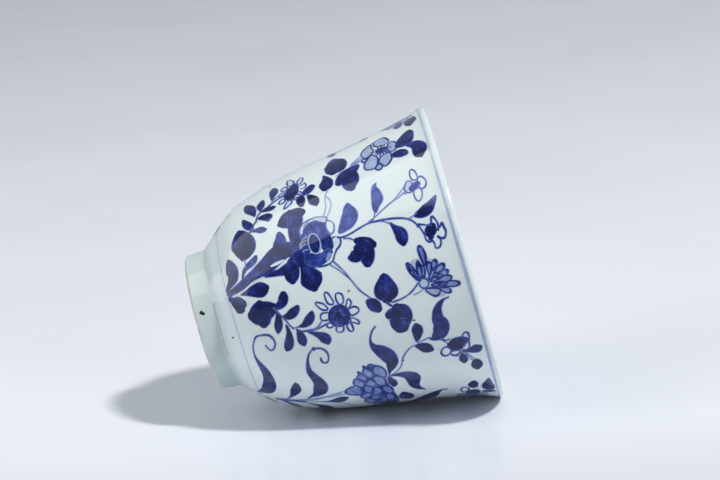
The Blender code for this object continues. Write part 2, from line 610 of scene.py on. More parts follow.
def patchy(tree, place, scale, low, high):
    # a roughness that wavers between two values
    return spread(tree, noise(tree, place, scale), 0.3, 0.7, low, high)


def glazeFinish(tree, shader, place):
    # gloss, then orange peel over the slow waves that the thrower's fingers left
    gloss = glazeLook["roughness"]
    rough = patchy(tree, place, glazeLook["glossScale"], gloss - 0.02, gloss + 0.03)
    tree.links.new(rough, shader.inputs["Roughness"])
    shader.inputs["IOR"].default_value = glazeLook["ior"]
    peel = noise(tree, place, glazeLook["peelScale"], 2.0)
    waves = noise(tree, place, glazeLook["waveScale"], 2.0)
    height = calc(tree, "MULTIPLY_ADD", waves, glazeLook["waveHeight"], peel)
    inputs = {"Strength": glazeLook["peel"], "Distance": glazeLook["peelDepth"], "Height": height}
    bump = addNode(tree, "ShaderNodeBump", inputs)
    tree.links.new(bump.outputs[0], shader.inputs["Normal"])


def glazeColour(tree, place):
    # slow clouds of a slightly deeper tone, the same under the paint and beside it
    cloud = spread(tree, noise(tree, place, glazeLook["cloudScale"], 4.0), 0.35, 0.7, 0.0, 0.35)
    return mixColour(tree, cloud, glazeLook["pale"], glazeLook["deep"])


def makeGlaze():
    material, tree, shader = newMaterial("blueWhiteGlaze")
    place = objectPlace(tree)
    height = addNode(tree, "ShaderNodeSeparateXYZ", {0: place}).outputs[2]
    base = glazeColour(tree, place)
    # painted shade: toned down over the whole foot, most in the crease where it meets the bowl, and fading
    # out on the wall above
    pool = spread(tree, height, glazeLook["footShadeFrom"], glazeLook["poolTo"])
    above = spread(tree, height, glazeLook["landFrom"], glazeLook["landTo"], glazeLook["landTone"], 1.0)
    footShadeShare = calc(tree, "MULTIPLY", pool, above)
    footShadeShare = calc(tree, "MULTIPLY", footShadeShare, glazeLook["footShadeStrength"])
    base = mixColour(tree, footShadeShare, base, glazeLook["pool"])
    # faint grey specks, one in about every fifth cell
    inputs = {"Vector": place, "Scale": glazeLook["speckScale"], "Randomness": 1.0}
    cells = addNode(tree, "ShaderNodeTexVoronoi", inputs)
    near = calc(tree, "LESS_THAN", cells.outputs["Distance"], glazeLook["speckSize"])
    rare = addNode(tree, "ShaderNodeSeparateColor", {0: cells.outputs["Color"]}).outputs[0]
    speck = calc(tree, "MULTIPLY", near, calc(tree, "GREATER_THAN", rare, glazeLook["speckRarity"]))
    faint = calc(tree, "MULTIPLY", speck, glazeLook["speckStrength"])
    base = mixColour(tree, faint, base, glazeLook["speck"])
    tree.links.new(base, shader.inputs["Base Color"])
    glazeFinish(tree, shader, place)
    return material


cobaltLook = {
    "stops": [
        (0.00, (0.640, 0.740, 0.810)),
        (0.16, (0.455, 0.555, 0.700)),
        (0.34, (0.235, 0.315, 0.540)),
        (0.52, (0.085, 0.140, 0.450)),
        (0.70, (0.024, 0.050, 0.290)),
        (0.86, (0.009, 0.020, 0.165)),
        (1.00, (0.004, 0.008, 0.070)),
    ],
    "streaks": 0.40,
    "clouds": 0.60,
    "edgeFade": 0.30,
    "edgeWidth": 0.34,   # in mm
    "bleedInk": 0.42,
    "streakLength": 2.2,  # how fast the streaks change along a stroke and across it
    "streakWidth": 2.6,
    "streakScale": 2.2,
    "cloudScale": 420.0,
    "inkShare": 1.6,     # how fast the unevenness grows with the ink
    "palest": 0.10,      # ink under which the bare glaze shows through
}


def makeCobalt():
    material, tree, shader = newMaterial("underglazeCobalt")
    place = objectPlace(tree)
    given = {}
    for name in ("ink", "along", "across", "seed", "halfWidth", "bleed"):
        given[name] = addNode(tree, "ShaderNodeAttribute", attribute_name=name).outputs["Fac"]
    # streaks along the stroke, and small clouds over the whole painting
    lengthwise = calc(tree, "MULTIPLY", given["along"], cobaltLook["streakLength"])
    apart = calc(tree, "MULTIPLY", given["seed"], 60.0)   # each stroke has streaks of its own
    sideways = calc(tree, "MULTIPLY_ADD", given["across"], cobaltLook["streakWidth"], apart)
    inputs = {0: lengthwise, 1: sideways, 2: given["seed"]}
    brushed = addNode(tree, "ShaderNodeCombineXYZ", inputs).outputs[0]
    streak = calc(tree, "SUBTRACT", noise(tree, brushed, cobaltLook["streakScale"]), 0.5)
    streak = calc(tree, "MULTIPLY", streak, cobaltLook["streaks"])
    cloud = calc(tree, "SUBTRACT", noise(tree, place, cobaltLook["cloudScale"]), 0.5)
    cloud = calc(tree, "MULTIPLY", cloud, cobaltLook["clouds"])
    uneven = calc(tree, "ADD", streak, cloud)
    # a reserve left white stays white: unevenness grows with the ink
    uneven = calc(tree, "MULTIPLY", uneven, calc(tree, "MULTIPLY", given["ink"], cobaltLook["inkShare"]))
    # the blue thins towards the edge of each stroke, and bleeds a little into the glaze beyond it
    inward = calc(tree, "SUBTRACT", 1.0, calc(tree, "ABSOLUTE", given["across"]))
    inward = calc(tree, "MULTIPLY", calc(tree, "MULTIPLY", inward, given["halfWidth"]), 1.0 / mm)
    edge = spread(tree, inward, 0.0, cobaltLook["edgeWidth"], cobaltLook["edgeFade"], 0.0)
    full = calc(tree, "SUBTRACT", 1.0, edge)
    core = calc(tree, "ADD", calc(tree, "MULTIPLY", given["ink"], full), uneven)
    bled = spread(tree, inward, 0.0, strokeLay["bleed"] * 1.2, 0.0, cobaltLook["bleedInk"])
    bled = calc(tree, "MULTIPLY", bled, given["ink"])
    bleeding = calc(tree, "GREATER_THAN", given["bleed"], 0.5)
    depth = calc(tree, "ADD", core, calc(tree, "MULTIPLY", bleeding, calc(tree, "SUBTRACT", bled, core)))
    painted = spread(tree, depth, 0.0, cobaltLook["palest"])
    blue = ramp(tree, depth, cobaltLook["stops"])
    tree.links.new(mixColour(tree, painted, glazeColour(tree, place), blue), shader.inputs["Base Color"])
    glazeFinish(tree, shader, place)
    return material


clayLook = {
    "pale": (0.78, 0.71, 0.62, 1.0),
    "burnt": (0.60, 0.46, 0.34, 1.0),
    "toneScale": 420.0,
    "roughness": 0.75,
    "roughScale": 900.0,
    "gritScale": 2500.0,
    "gritDepth": 0.00005,
}


def makeClay():
    material, tree, shader = newMaterial("bareFiredClay")
    place = objectPlace(tree)
    tone = spread(tree, noise(tree, place, clayLook["toneScale"], 4.0), 0.35, 0.68)
    tree.links.new(mixColour(tree, tone, clayLook["pale"], clayLook["burnt"]), shader.inputs["Base Color"])
    dry = clayLook["roughness"]
    rough = patchy(tree, place, clayLook["roughScale"], dry - 0.1, dry + 0.1)
    tree.links.new(rough, shader.inputs["Roughness"])
    height = noise(tree, place, clayLook["gritScale"])
    inputs = {"Strength": 0.5, "Distance": clayLook["gritDepth"], "Height": height}
    grit = addNode(tree, "ShaderNodeBump", inputs)
    tree.links.new(grit.outputs[0], shader.inputs["Normal"])
    return material


ironLook = {
    "stops": [
        (0.00, (0.66, 0.74, 0.74)),
        (0.35, (0.44, 0.42, 0.37)),
        (0.70, (0.19, 0.15, 0.12)),
        (1.00, (0.02, 0.018, 0.016)),
    ],
    "wearScale": 1400.0,
    "roughScale": 900.0,
    "roughness": (0.14, 0.30),
}


def makeIronSpots():
    material, tree, shader = newMaterial("ironSpots")
    place = objectPlace(tree)
    strength = addNode(tree, "ShaderNodeAttribute", attribute_name="ink").outputs["Fac"]
    wear = spread(tree, noise(tree, place, ironLook["wearScale"], 4.0), 0.3, 0.65, 0.55, 1.1)
    worn = calc(tree, "MULTIPLY", strength, wear)
    tree.links.new(ramp(tree, worn, ironLook["stops"]), shader.inputs["Base Color"])
    rough = patchy(tree, place, ironLook["roughScale"], *ironLook["roughness"])
    tree.links.new(rough, shader.inputs["Roughness"])
    return material


glaze = makeGlaze()
cobalt = makeCobalt()
clay = makeClay()
iron = makeIronSpots()
print("materials ready")


def finishPiece(piece):
    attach(piece, "root")


body = turned("porcelainBody", cupOutline(), glaze)
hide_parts("bowl", "foot_ring")
finishPiece(body)

# the unglazed land: inner edge, flat underside, outer edge, and back inside the body
footEdge = [
    (15.35, 0.62), (15.42, 0.2), (15.5, 0.08), (15.65, 0.0), (16.1, 0.0), (16.6, 0.0),
    (17.15, 0.0), (17.33, 0.06), (17.5, 0.2), (17.6, 0.62), (16.5, 0.7), (15.35, 0.62),
]
bareEdge = turned("bareFootEdge", [Vector(point) for point in reversed(footEdge)], clay)
finishPiece(bareEdge)
print("body turned:", len(body.data.polygons), "faces")


# in the painted sprays every point is (across, up) in mm on the unrolled wall, and a blade's third
# value is its half width

def around(x, y, across, up, count):
    # points evenly round an oval
    angles = [math.radians(step * 360 / count) for step in range(count)]
    return [(x + across * math.cos(angle), y + up * math.sin(angle)) for angle in angles]


def petalPad(brush, base, tip, width, ink, thick, wash):
    # one narrow outlined petal from its base to its round tip
    base = Vector(base)
    tip = Vector(tip)
    along = tip - base
    side = Vector((-along.y, along.x)).normalized() * width / 2
    outline = [base, base + along * 0.45 + side, base + along * 0.82 + side * 0.9, tip,
               base + along * 0.82 - side * 0.9, base + along * 0.45 - side]
    brush.loop([tuple(point) for point in outline], ink, thick, wash)


def plumBranch(brush):
    brush.blade([(-34.2, 59.8, .9), (-35.6, 61.9, 2.3), (-37.6, 63.0, 1.9), (-40.3, 64.0, 0)], 1.0, .85)
    brush.blade([(-33.6, 62.0, .3), (-32.6, 64.2, 1.5), (-30.8, 65.2, 2.1), (-28.8, 64.9, 1.7),
                 (-27.4, 65.2, .3)], .75, .95, 1.0)
    brush.blade([(-31.3, 57.8, .6), (-31.2, 59.6, 1.5), (-30.8, 60.9, 1.5), (-30.2, 61.7, .7)])
    brush.line([(-33.5, 62.3), (-34, 61), (-33.7, 59.8), (-32.8, 58.8)])
    petals = [
        [(-37.6, 58.9), (-35.6, 59.9), (-33.6, 59.4), (-32.9, 58.1), (-34.3, 57.2), (-36.6, 57.6)],
        [(-38.6, 58.1), (-41.2, 57.3), (-42.0, 56.3), (-40.9, 54.6), (-39, 54.0), (-37.4, 55.2),
         (-37.4, 57.0)],
        [(-40.2, 53.2), (-38.6, 51.4), (-36.6, 50.4), (-34.8, 50.6), (-33.7, 51.4), (-34.6, 52.8),
         (-36.4, 53.6), (-38.6, 53.3)],
        [(-34.4, 52.9), (-32.6, 51.3), (-31, 50.6), (-29.4, 50.5), (-28.6, 51.7), (-28.9, 53.4),
         (-30.6, 54.0), (-32.6, 54.2)],
        [(-32.8, 57.6), (-30.8, 57.9), (-29, 56.9), (-28.2, 55.7), (-28.9, 54.9), (-30.4, 54.3),
         (-32, 55.0), (-32.9, 56.4)],
        [(-29.5, 54.7), (-28.4, 54.9), (-27.5, 54.1), (-28.2, 53.1), (-29.3, 53.5)],
        [(-33.9, 50.6), (-33.2, 50.1), (-32.0, 50.8), (-33.0, 51.6)],
    ]
    for petal in petals:
        brush.loop(petal, .95, .32, .27)
    brush.line([(-41.3, 54.9), (-40.9, 53.9), (-40.2, 53.2)], .85, .3)
    brush.dot(-35.0, 55.7, 1.5, .80, layer=1)
    brush.dot(-35.0, 55.7, .7, 1.0, layer=3)
    brush.blade([(-35.9, 55.6, .45), (-35.0, 55.7, .7), (-34.1, 55.8, .45)], 1.0, layer=3)
    for step in range(13):
        angle = math.radians(step * 27.7 + 9)
        reach = 2.3 + 0.4 * math.sin(step * 2.3)
        start = (-35.0 + 1.0 * math.cos(angle), 55.7 + 1.0 * math.sin(angle))
        end = (-35.0 + reach * math.cos(angle), 55.7 + reach * math.sin(angle))
        brush.line([start, end], .95, .34, 3)
    brush.line([(-36, 50.4), (-34.9, 49.1), (-33.6, 47.5)], .6)
    brush.line([(-33.3, 50), (-33.1, 48.6), (-32.6, 47)], .6)
    brush.wash([(-36, 50.4), (-33.2, 50), (-32.6, 47), (-33.6, 47.4)], .3)
    brush.blade([(-32.0, 49.0, .6), (-31.0, 47.6, 1.5), (-29.6, 45.6, 2.1), (-28.0, 43.9, 1.7),
                 (-27.0, 42.8, .8)], .85, 1.0)
    brush.blade([(-30, 46.5, 1.8), (-27.4, 46.2, 2.4), (-25.2, 45.9, 1.9), (-23.8, 46.2, .8)], 1.0, .8)
    brush.blade([(-40.1, 43.0, .4), (-38.6, 43.1, 1.6), (-36.6, 43.4, 2.8), (-34.4, 43.2, 3.1),
                 (-32.6, 42.4, 2.2), (-31.8, 42.2, .8)], .8, 1.0, 1.0)
    brush.blade([(-32.6, 39.7, .1), (-31.0, 40.1, .8), (-29.4, 40.2, 1.7), (-27.9, 39.8, 1.9),
                 (-26.6, 39.4, 1.0)], .95, 1.0)
    brush.line([(-32, 44.8), (-31.2, 43.9), (-30.3, 42.8)], .45)
    brush.line([(-26.4, 40.2), (-24.6, 39.2), (-23, 38.8), (-21, 38.6), (-19.4, 38.0),
                (-18.2, 37.4)], .38)
    brush.line([(-24, 39.4), (-22.6, 40.0), (-21, 40), (-19.2, 39.2), (-18, 38.4)], .38)


def leftEdgeFlower(brush):
    brush.blade([(-48.4, 65.6, .7), (-47.0, 65.0, 1.5), (-45.4, 64.8, 1.9), (-43.8, 64.5, 1.2),
                 (-42.6, 64.5, .4)])
    brush.blade([(-49.4, 62.0, .5), (-47.6, 61.6, 1.1), (-46.0, 61.3, 1.3), (-44.6, 61.2, .7)], .9)
    for tip in ((-51.6, 65.6), (-47.6, 64.2), (-47.4, 58.8), (-49.8, 57.0), (-54.2, 58.4), (-54.9, 62.2)):
        petalPad(brush, (-51.0, 61.0), tip, 2.4, .8, .28, .3)
    brush.dot(-51.0, 61.0, 1.1, .85)
    brush.blade([(-50.4, 52.4, .6), (-49.0, 51.9, 1.1), (-47.6, 51.8, .7)], .6)
    brush.blade([(-46.6, 42.7, .7), (-45.2, 42.7, 1.3), (-44.0, 42.8, 1.1), (-43.2, 43.2, .4)], .85)
    brush.line([(-47.4, 51.8), (-46.4, 49.6), (-45.8, 46.4), (-45.0, 43.6)], .5)


def sprayStems(brush):
    stem = [(-8.9, 59.6), (-10.6, 58.4), (-11.6, 56.8), (-12.3, 54.5), (-12.7, 52), (-12.9, 49.6),
            (-12.9, 47.6), (-12.2, 45), (-11.6, 43), (-11.3, 41), (-11.6, 39.4), (-11.9, 38.4)]
    brush.line(stem, .78, .42)
    brush.line([(-9.7, 43.4), (-10.5, 42.4), (-10.9, 41)], .75, .35)
    brush.line([(-20.3, 59.2), (-18.6, 57.4), (-17.0, 55.4)], .62)
    brush.line([(-18.2, 58.3), (-17.4, 56.6), (-16.9, 55.2), (-15.6, 52.6), (-14.2, 50.2),
                (-13.3, 48.2)], .66, .3)
    # leaves on the tall stem
    brush.blade([(-11.5, 59.4, .4), (-11.7, 61.4, 1.3), (-12.4, 63.0, 1.5), (-13.5, 64.4, .95),
                 (-15.2, 66.0, 0)], 1.0, .9, .55)
    brush.line([(-12.1, 60.2), (-11.4, 58.6), (-11.3, 57.8)], .7)
    brush.blade([(-11.5, 53.1, .3), (-10.0, 53.9, .7), (-8.3, 54.9, 1.6), (-6.6, 55.0, 1.5),
                 (-5.2, 54.9, .5)], .75, 1.0)
    brush.line([(-12.7, 50.8), (-12.2, 51.8), (-11.4, 52.9)], .7)
    brush.blade([(-15.1, 50.3, .3), (-16.8, 50.7, .95), (-18.8, 51.6, 1.55), (-20.9, 51.6, 1.2),
                 (-22.6, 51.6, .6), (-23.7, 52.4, 0)], .72, .7, .58)
    brush.line([(-15.2, 50.2), (-13.6, 49.4), (-13.1, 48.6)], .7)
    brush.blade([(-20.0, 44.1, .3), (-18.6, 44.0, 1.3), (-16.6, 44.0, 2.1), (-14.9, 43.0, 2.0),
                 (-13.5, 41.4, 1.2), (-12.6, 40.2, .3)], .7)
    brush.line([(-17.1, 45.2), (-16.4, 44.1), (-15.6, 42.8)], .95, .4, 3)
    brush.blade([(-9.6, 43.6, .6), (-8.8, 45.2, 1.3), (-7.7, 46.8, 1.7), (-7.3, 48.1, .8)])
    brush.blade([(-9.0, 44.6, 1.2), (-6.8, 45.4, 2.2), (-4.6, 45.4, 1.9), (-2.8, 45.0, .9)])
    brush.blade([(-7.6, 44.4, 1.4), (-6.0, 43.2, 1.8), (-5.7, 41.7, 1.2), (-5.8, 41.0, .5)], 1.0, .9)
    brush.dot(-7.6, 42.4, .3, 0.0)


def fourPetalFlower(brush):
    brush.loop([(-21.0, 62.6), (-23.2, 62.5), (-24.4, 61.7), (-23.3, 61.0), (-21.2, 61.2)], .75, .24)
    brush.loop([(-20.9, 62.5), (-21.5, 63.5), (-20.6, 64.2), (-19.5, 64.5), (-18.3, 64.0), (-17.9, 63.0),
                (-18.6, 62.4)], .75, .24)
    brush.loop([(-18.4, 62.6), (-16.9, 62.8), (-15.4, 62.2), (-14.9, 61.4), (-15.7, 60.8), (-17.4, 60.7),
                (-18.3, 61.3)], .75, .24)
    brush.loop([(-20.3, 61.0), (-21.3, 60.0), (-20.4, 59.3), (-19.2, 58.7), (-18, 59.3), (-17.9, 60.3),
                (-18.6, 60.9)], .75, .24, .15)
    brush.blade([(-19.8, 62.6, .7), (-19.3, 61.5, 1.0), (-18.5, 60.3, .8)], .62, .72)
    brush.line([(-18.9, 59.0), (-18.0, 58.4), (-17.9, 58.9)], .7)


def fivePetalFlower(brush):
    brush.line([(-8.0, 65.5), (-6.9, 65.7), (-5.6, 65.9), (-4.3, 65.2), (-4.4, 64.2),
                (-5.1, 63.6)], .92, .5)
    brush.line([(-8, 65.4), (-7.0, 64.5), (-6.6, 63.6)], .9, .45)
    brush.line([(-4.8, 64.1), (-3.4, 64.0), (-2.4, 63.3), (-2.5, 62.3), (-3.4, 62.4),
                (-4.3, 62.1)], .85, .38)
    brush.line([(-6.4, 64.1), (-8.4, 64.4), (-10.2, 63.5), (-9.0, 63.0), (-7.4, 62.7)], .9, .42)
    brush.line([(-6.9, 60.9), (-6.2, 60.6), (-5.1, 60.6), (-4.2, 61.3), (-4.6, 62.1)], .85, .38)
    brush.line([(-8.1, 62.9), (-8.6, 61.2), (-9.3, 59.7)], .85, .34)
    brush.blade([(-8.2, 63.2, .8), (-6.9, 62.3, 1.55), (-5.9, 61.6, 1.0)], 1.0, 1.1)
    brush.dot(-6.9, 62.4, 1.0, 1.2, layer=2)
    brush.blade([(-6.4, 62.6, .6), (-5.3, 61.9, .8), (-4.7, 61.6, .4)])
    brush.dot(-8.9, 59.7, .5, .85)
    brush.line([(-9.0, 59.6), (-7.6, 60.2), (-6.2, 60.5)], .85, .34)


def chrysanthemum(brush):
    brush.wash([(-1.2, 59.0), (1.0, 62.4), (5.2, 64.0), (8.2, 63.4), (9.0, 59.0), (6.6, 56.4),
                (3.0, 55.0), (-.8, 55.4)], .22)
    rays = [
        ((2.6, 60.0), (0.2, 61.5), 1.2), ((3.4, 60.3), (1.8, 63.4), 1.3), ((4.4, 60.4), (3.6, 63.9), 1.2),
        ((5.5, 59.6), (5.3, 64.3), 1.5), ((6.3, 60.6), (7.3, 65.9), 1.3), ((7.2, 60.6), (8.7, 63.2), 1.2),
        ((3.6, 59.1), (0.2, 59.8), 1.1), ((3.9, 56.9), (-0.6, 57.1), 1.0), ((4.1, 56.2), (-0.8, 54.4), 1.2),
        ((4.6, 58.6), (2.0, 60.9), 1.0), ((5.0, 58.8), (4.2, 62.3), 1.0), ((6.0, 58.8), (6.4, 62.9), 1.0),
        ((3.8, 57.6), (0.6, 58.0), .9), ((4.2, 56.6), (1.2, 55.6), .9),
    ]
    for base, tip, width in rays:
        petalPad(brush, base, tip, width, 1.0, .3, .42)
    brush.loop([(0.8, 58.9), (-1.5, 59.4), (-3.6, 59.0), (-4.1, 58.4), (-3.2, 58.0), (-1.2, 58.1),
                (0.6, 58.4)], 1.0, .34, .5)
    brush.loop([(6.8, 59.4), (7.4, 60.6), (8.5, 60.2), (8.8, 59.1), (7.6, 57.7),
                (6.5, 57.3)], .95, .34, .3)
    brush.blade([(1.4, 55.0, .3), (0.2, 54.6, .45), (-.7, 54.3, .3)], .95)
    tips = [
        (7.3, 65.6), (0.5, 61.3), (2.0, 63.1), (3.7, 63.6),
        (-3.8, 58.5), (8.6, 63.0), (-.6, 54.5), (0.5, 59.7),
    ]
    for x, y in tips:
        brush.dot(x, y, .36, .95)
    brush.blade([(1.0, 57.1, .25), (0.0, 57.1, .4), (-.7, 57.1, .25)], .95)
    brush.dot(5.0, 57.2, 1.2, .18, layer=2)
    brush.loop(around(5.0, 57.2, 1.25, 1.15, 8), .85, .3, 0, 3)
    brush.line([(4.6, 55.9), (6.3, 53.6), (7.2, 51.2), (7.5, 48.3)], .72, .34)
    brush.line([(6.4, 56.6), (6.9, 55.4), (7.1, 54)], .42)
    # leaves below it
    brush.blade([(0.0, 48.2, 0), (1.6, 48.1, 1.7), (3.6, 47.8, 2.9), (5.4, 47.6, 2.9),
                 (6.8, 47.4, 1.2)], .85, 1.0)
    brush.blade([(8.6, 48.9, 1.0), (10.8, 49.6, 2.9), (13.2, 49.0, 2.6), (15.0, 48.9, 1.6)], 1.0, .92)
    brush.blade([(10.2, 49.5, 1.6), (10.8, 50.7, 1.7), (11.2, 51.6, 1.1)])
    brush.blade([(10.4, 48, 1.6), (10.4, 47.1, 1.4), (10.5, 46.3, .9)])
    brush.line([(7.1, 47), (7.7, 47.5), (8.5, 48.2)], .8, .5)
    brush.blade([(5.6, 42.6, .7), (6.4, 43.4, 1.5), (7.4, 44.2, 1.6), (8.6, 44.9, .8)], .9, 1.0)
    brush.line([(5.2, 43.7), (4.2, 42.8), (3, 41.8), (1.4, 40.9), (-0.2, 40.2), (-1.6, 39.6),
                (-3.4, 38.7), (-5.9, 37.1)], .66, .32)
    brush.line([(-.6, 40.0), (-2.2, 38.9), (-3.6, 37.8), (-5.6, 35.9)], .62, .3)


def blotFlower(brush):
    brush.blade([(9.9, 62.2, .2), (10.3, 60.5, .35), (12, 58.8, 1.0), (14.5, 58.2, 1.5),
                 (16.5, 58.6, 2.0), (18.6, 57.6, 1.9), (19.6, 55.6, .5), (19.3, 54.8, .2)], .85, .85, .95)
    brush.blade([(19.3, 51.6, .25), (17.8, 52.1, 1.0), (16.4, 52.5, 1.45), (15.1, 52.5, 1.2),
                 (14.5, 52.5, .5)])
    brush.blade([(20.5, 51.0, .4), (20.9, 52.0, 1.0), (21.7, 53.2, 1.5), (22.5, 54.2, 1.2),
                 (23.0, 54.9, .4)])
    brush.line([(19, 55), (19.5, 53), (19.7, 51.7)], .7)
    brush.line([(20, 57.6), (21, 58.6), (21, 59.6)], .7)
    brush.line([(20.2, 51.2), (20.5, 49.8), (21.6, 48.3), (23, 47.2), (24.2, 46.7), (25.8, 46),
                (27, 44.9), (27.9, 43.6), (28.2, 42.3)], .62, .3)
    brush.dot(23.9, 46.9, .3, .7)
    brush.blade([(22.2, 63.8, .7), (22.4, 62.8, 1.5), (22.9, 61.3, 2.0), (23.0, 60.0, 1.8),
                 (23.0, 59.0, .9)], 1.0, 1.15)
    brush.dot(23.1, 61.0, 1.2, 1.2, layer=2)
    brush.loop([(21.0, 62.9), (20.1, 64.0), (20.9, 64.5), (22, 64.4), (22.9, 63.9)], .85, .34, .1)
    brush.loop([(23.0, 64.0), (24.3, 64.0), (25.2, 63.6), (25.5, 62.8), (25.0, 61.8),
                (24.0, 62.6)], .8, .3)
    brush.loop([(25.1, 61.3), (25.9, 61.2), (26.4, 60.2), (25.8, 59.0), (24.9, 59.2)], .8, .3)
    brush.loop([(23.2, 58.6), (23.2, 57.6), (24.2, 56.7), (25.5, 56.9), (25.9, 57.9), (25.3, 58.9),
                (24.2, 59.3)], .82, .34)
    brush.line([(21.2, 59.4), (20.9, 58.2), (20.2, 57.3)], .75)
    brush.line([(22.2, 58.9), (21.2, 58.2), (20.4, 57.3)], .75)
    brush.line([(26.9, 60.9), (26.7, 59.7), (26.0, 58.9)], .75)
    brush.blade([(25.9, 61.6, .25), (25.9, 63.0, .45), (25.9, 64.3, 1.0), (25.8, 65.6, 1.45),
                 (25.5, 66.5, 1.0), (25.3, 66.9, .4)], .85)
    brush.blade([(29.5, 64.4, .7), (30.4, 64.6, 1.3), (31.4, 64.6, 1.6), (32.4, 64.5, 1.2),
                 (33.2, 64.5, .5)])
    brush.line([(26.2, 62.6), (27.6, 63.4), (29.4, 64.5)], .75)
    brush.line([(26.2, 62.4), (27.8, 63.0), (29.6, 63.9)], .75)
    brush.blade([(26.5, 61.6, .4), (27.4, 61.7, 1.0), (28.4, 61.7, 1.2), (29.2, 61.7, .9),
                 (29.8, 61.6, .3)])


def rightEdgeSpray(brush):
    brush.blade([(28.4, 42.4, .3), (28.5, 44.4, .55), (29.3, 46.6, 1.3), (30.9, 48.0, 1.95),
                 (32.8, 48.0, 1.6), (34.8, 48.0, 1.2), (36.6, 48.7, .7), (37.8, 49.7, .3),
                 (38.5, 50.2, .1)], .75, .95, 1.0)
    brush.blade([(28.6, 42.2, .3), (29.9, 42.5, .8), (31.3, 42.9, 1.1), (32.5, 43.0, .8),
                 (33.3, 42.8, .25)])
    brush.blade([(12.3, 42.7, .2), (13.3, 41.6, .2), (14.7, 40.8, .22), (16.2, 40.5, .35),
                 (17.8, 41.0, .9), (19.3, 42.3, 1.7), (21.2, 43.6, 2.0), (23.2, 44.2, 1.7),
                 (25.0, 43.7, 1.2), (26.6, 42.9, .4), (28.0, 42.5, .2)], .8, .9, 1.0)
    brush.blade([(45.0, 66.3, 1.2), (43.4, 66.0, 1.7), (41.4, 66.0, 1.4), (39.6, 66.4, .7),
                 (38.2, 66.6, .1)])
    brush.blade([(42.6, 62.6, .7), (41.6, 62.3, 1.2), (40.4, 62.3, 1.4), (39.2, 62.6, .9),
                 (38.5, 62.8, .2)])
    brush.blade([(46.8, 64.4, .7), (46.9, 66, 1.2), (47, 67.3, .6)])
    brush.loop([(41.5, 60.0), (42.2, 59.1), (43.8, 58.9), (45.4, 59.6), (44.4, 60.7),
                (42.8, 60.9)], .85, .32)
    brush.blade([(44.9, 62.2, 1.2), (46.5, 61.8, 2.0), (48.2, 61.6, 1.4)])
    for tip in ((50.2, 65.4), (53.6, 63.6), (54.4, 60.2), (51.8, 57.6), (47.6, 57.8)):
        petalPad(brush, (49.0, 61.5), tip, 2.6, .82, .3, .25)
    brush.blade([(40.9, 55.6, .3), (40.7, 54.4, .25), (41.6, 52.9, .9), (43.4, 51.4, 1.9),
                 (45.6, 49.8, 2.4), (47.8, 48.0, 2.3), (49.6, 46.4, 1.2), (50.4, 45.2, .3)])
    brush.blade([(43.4, 45.6, .6), (42.0, 45.3, 1.6), (40.2, 44.9, 1.9), (38.6, 44.6, 1.2),
                 (37.3, 44.5, .2)])
    brush.blade([(48.8, 52.4, .6), (50.4, 52.4, 1.2), (52.0, 52.3, .6)])


scalePetals = [
    [(23.6, 39.6), (24.2, 41.0), (26.0, 41.9), (28.2, 41.6), (27.6, 40.2), (26.4, 39.2), (24.8, 38.9)],
    [(27.4, 38.4), (27.0, 39.6), (28.3, 40.7), (30.2, 41.2), (31.8, 40.8), (31.2, 39.4), (29.8, 38.7),
     (28.4, 38.2)],
    [(23.5, 36.9), (24.2, 38.1), (25.8, 38.6), (27.4, 38.1), (26.6, 36.9), (25.2, 36.3)],
    [(28.0, 37.4), (28.8, 38.4), (30.2, 38.6), (31.0, 37.6), (30.4, 36.5), (29.4, 36.1)],
    [(25.0, 35.4), (25.6, 36.4), (27.0, 37.0), (28.2, 36.4), (27.6, 35.4), (26.2, 34.6)],
    [(26.5, 34.0), (27.0, 35.1), (28.6, 35.8), (30.4, 35.4), (29.8, 34.2), (28.2, 33.2)],
    [(30.2, 35.9), (30.8, 37.0), (32.4, 37.6), (33.8, 36.8), (33.2, 35.6), (31.8, 35.0)],
    [(29.2, 33.6), (30.5, 34.4), (32.5, 34.7), (34.1, 34.0), (33.4, 32.4), (32.3, 30.8), (31, 30.4),
     (29.9, 31.2)],
    [(31.8, 38.2), (32.8, 39.3), (34.4, 39.6), (35.6, 38.6), (35.0, 37.2), (33.4, 37.0)],
    [(33.7, 35.2), (34.2, 36.2), (35.6, 36.4), (36.8, 35.4), (36.2, 34.2), (34.8, 33.9)],
    [(35.9, 37.0), (36.6, 38.2), (38.0, 38.6), (39.0, 37.4), (38.2, 36.4), (37.0, 36.0)],
    [(36.2, 40.6), (37.6, 41.8), (39.6, 42.2), (41.6, 41.4), (40.4, 40.2), (38.2, 39.9)],
    [(38.6, 39.0), (39.8, 40.0), (41.4, 40.0), (42.8, 39.2), (41.8, 38.2), (40.0, 38.2)],
    [(37.2, 35.0), (38.2, 36.4), (39.8, 37.0), (41.4, 36.0), (40.2, 34.9), (38.6, 34.4)],
    [(41.4, 37.2), (42.6, 38.2), (44.4, 38.2), (45.6, 37.2), (44.2, 36.4), (42.6, 36.4)],
    [(32.0, 40.2), (32.6, 41.6), (34.4, 42.2), (36.4, 41.8), (35.4, 40.4), (33.6, 39.8)],
]


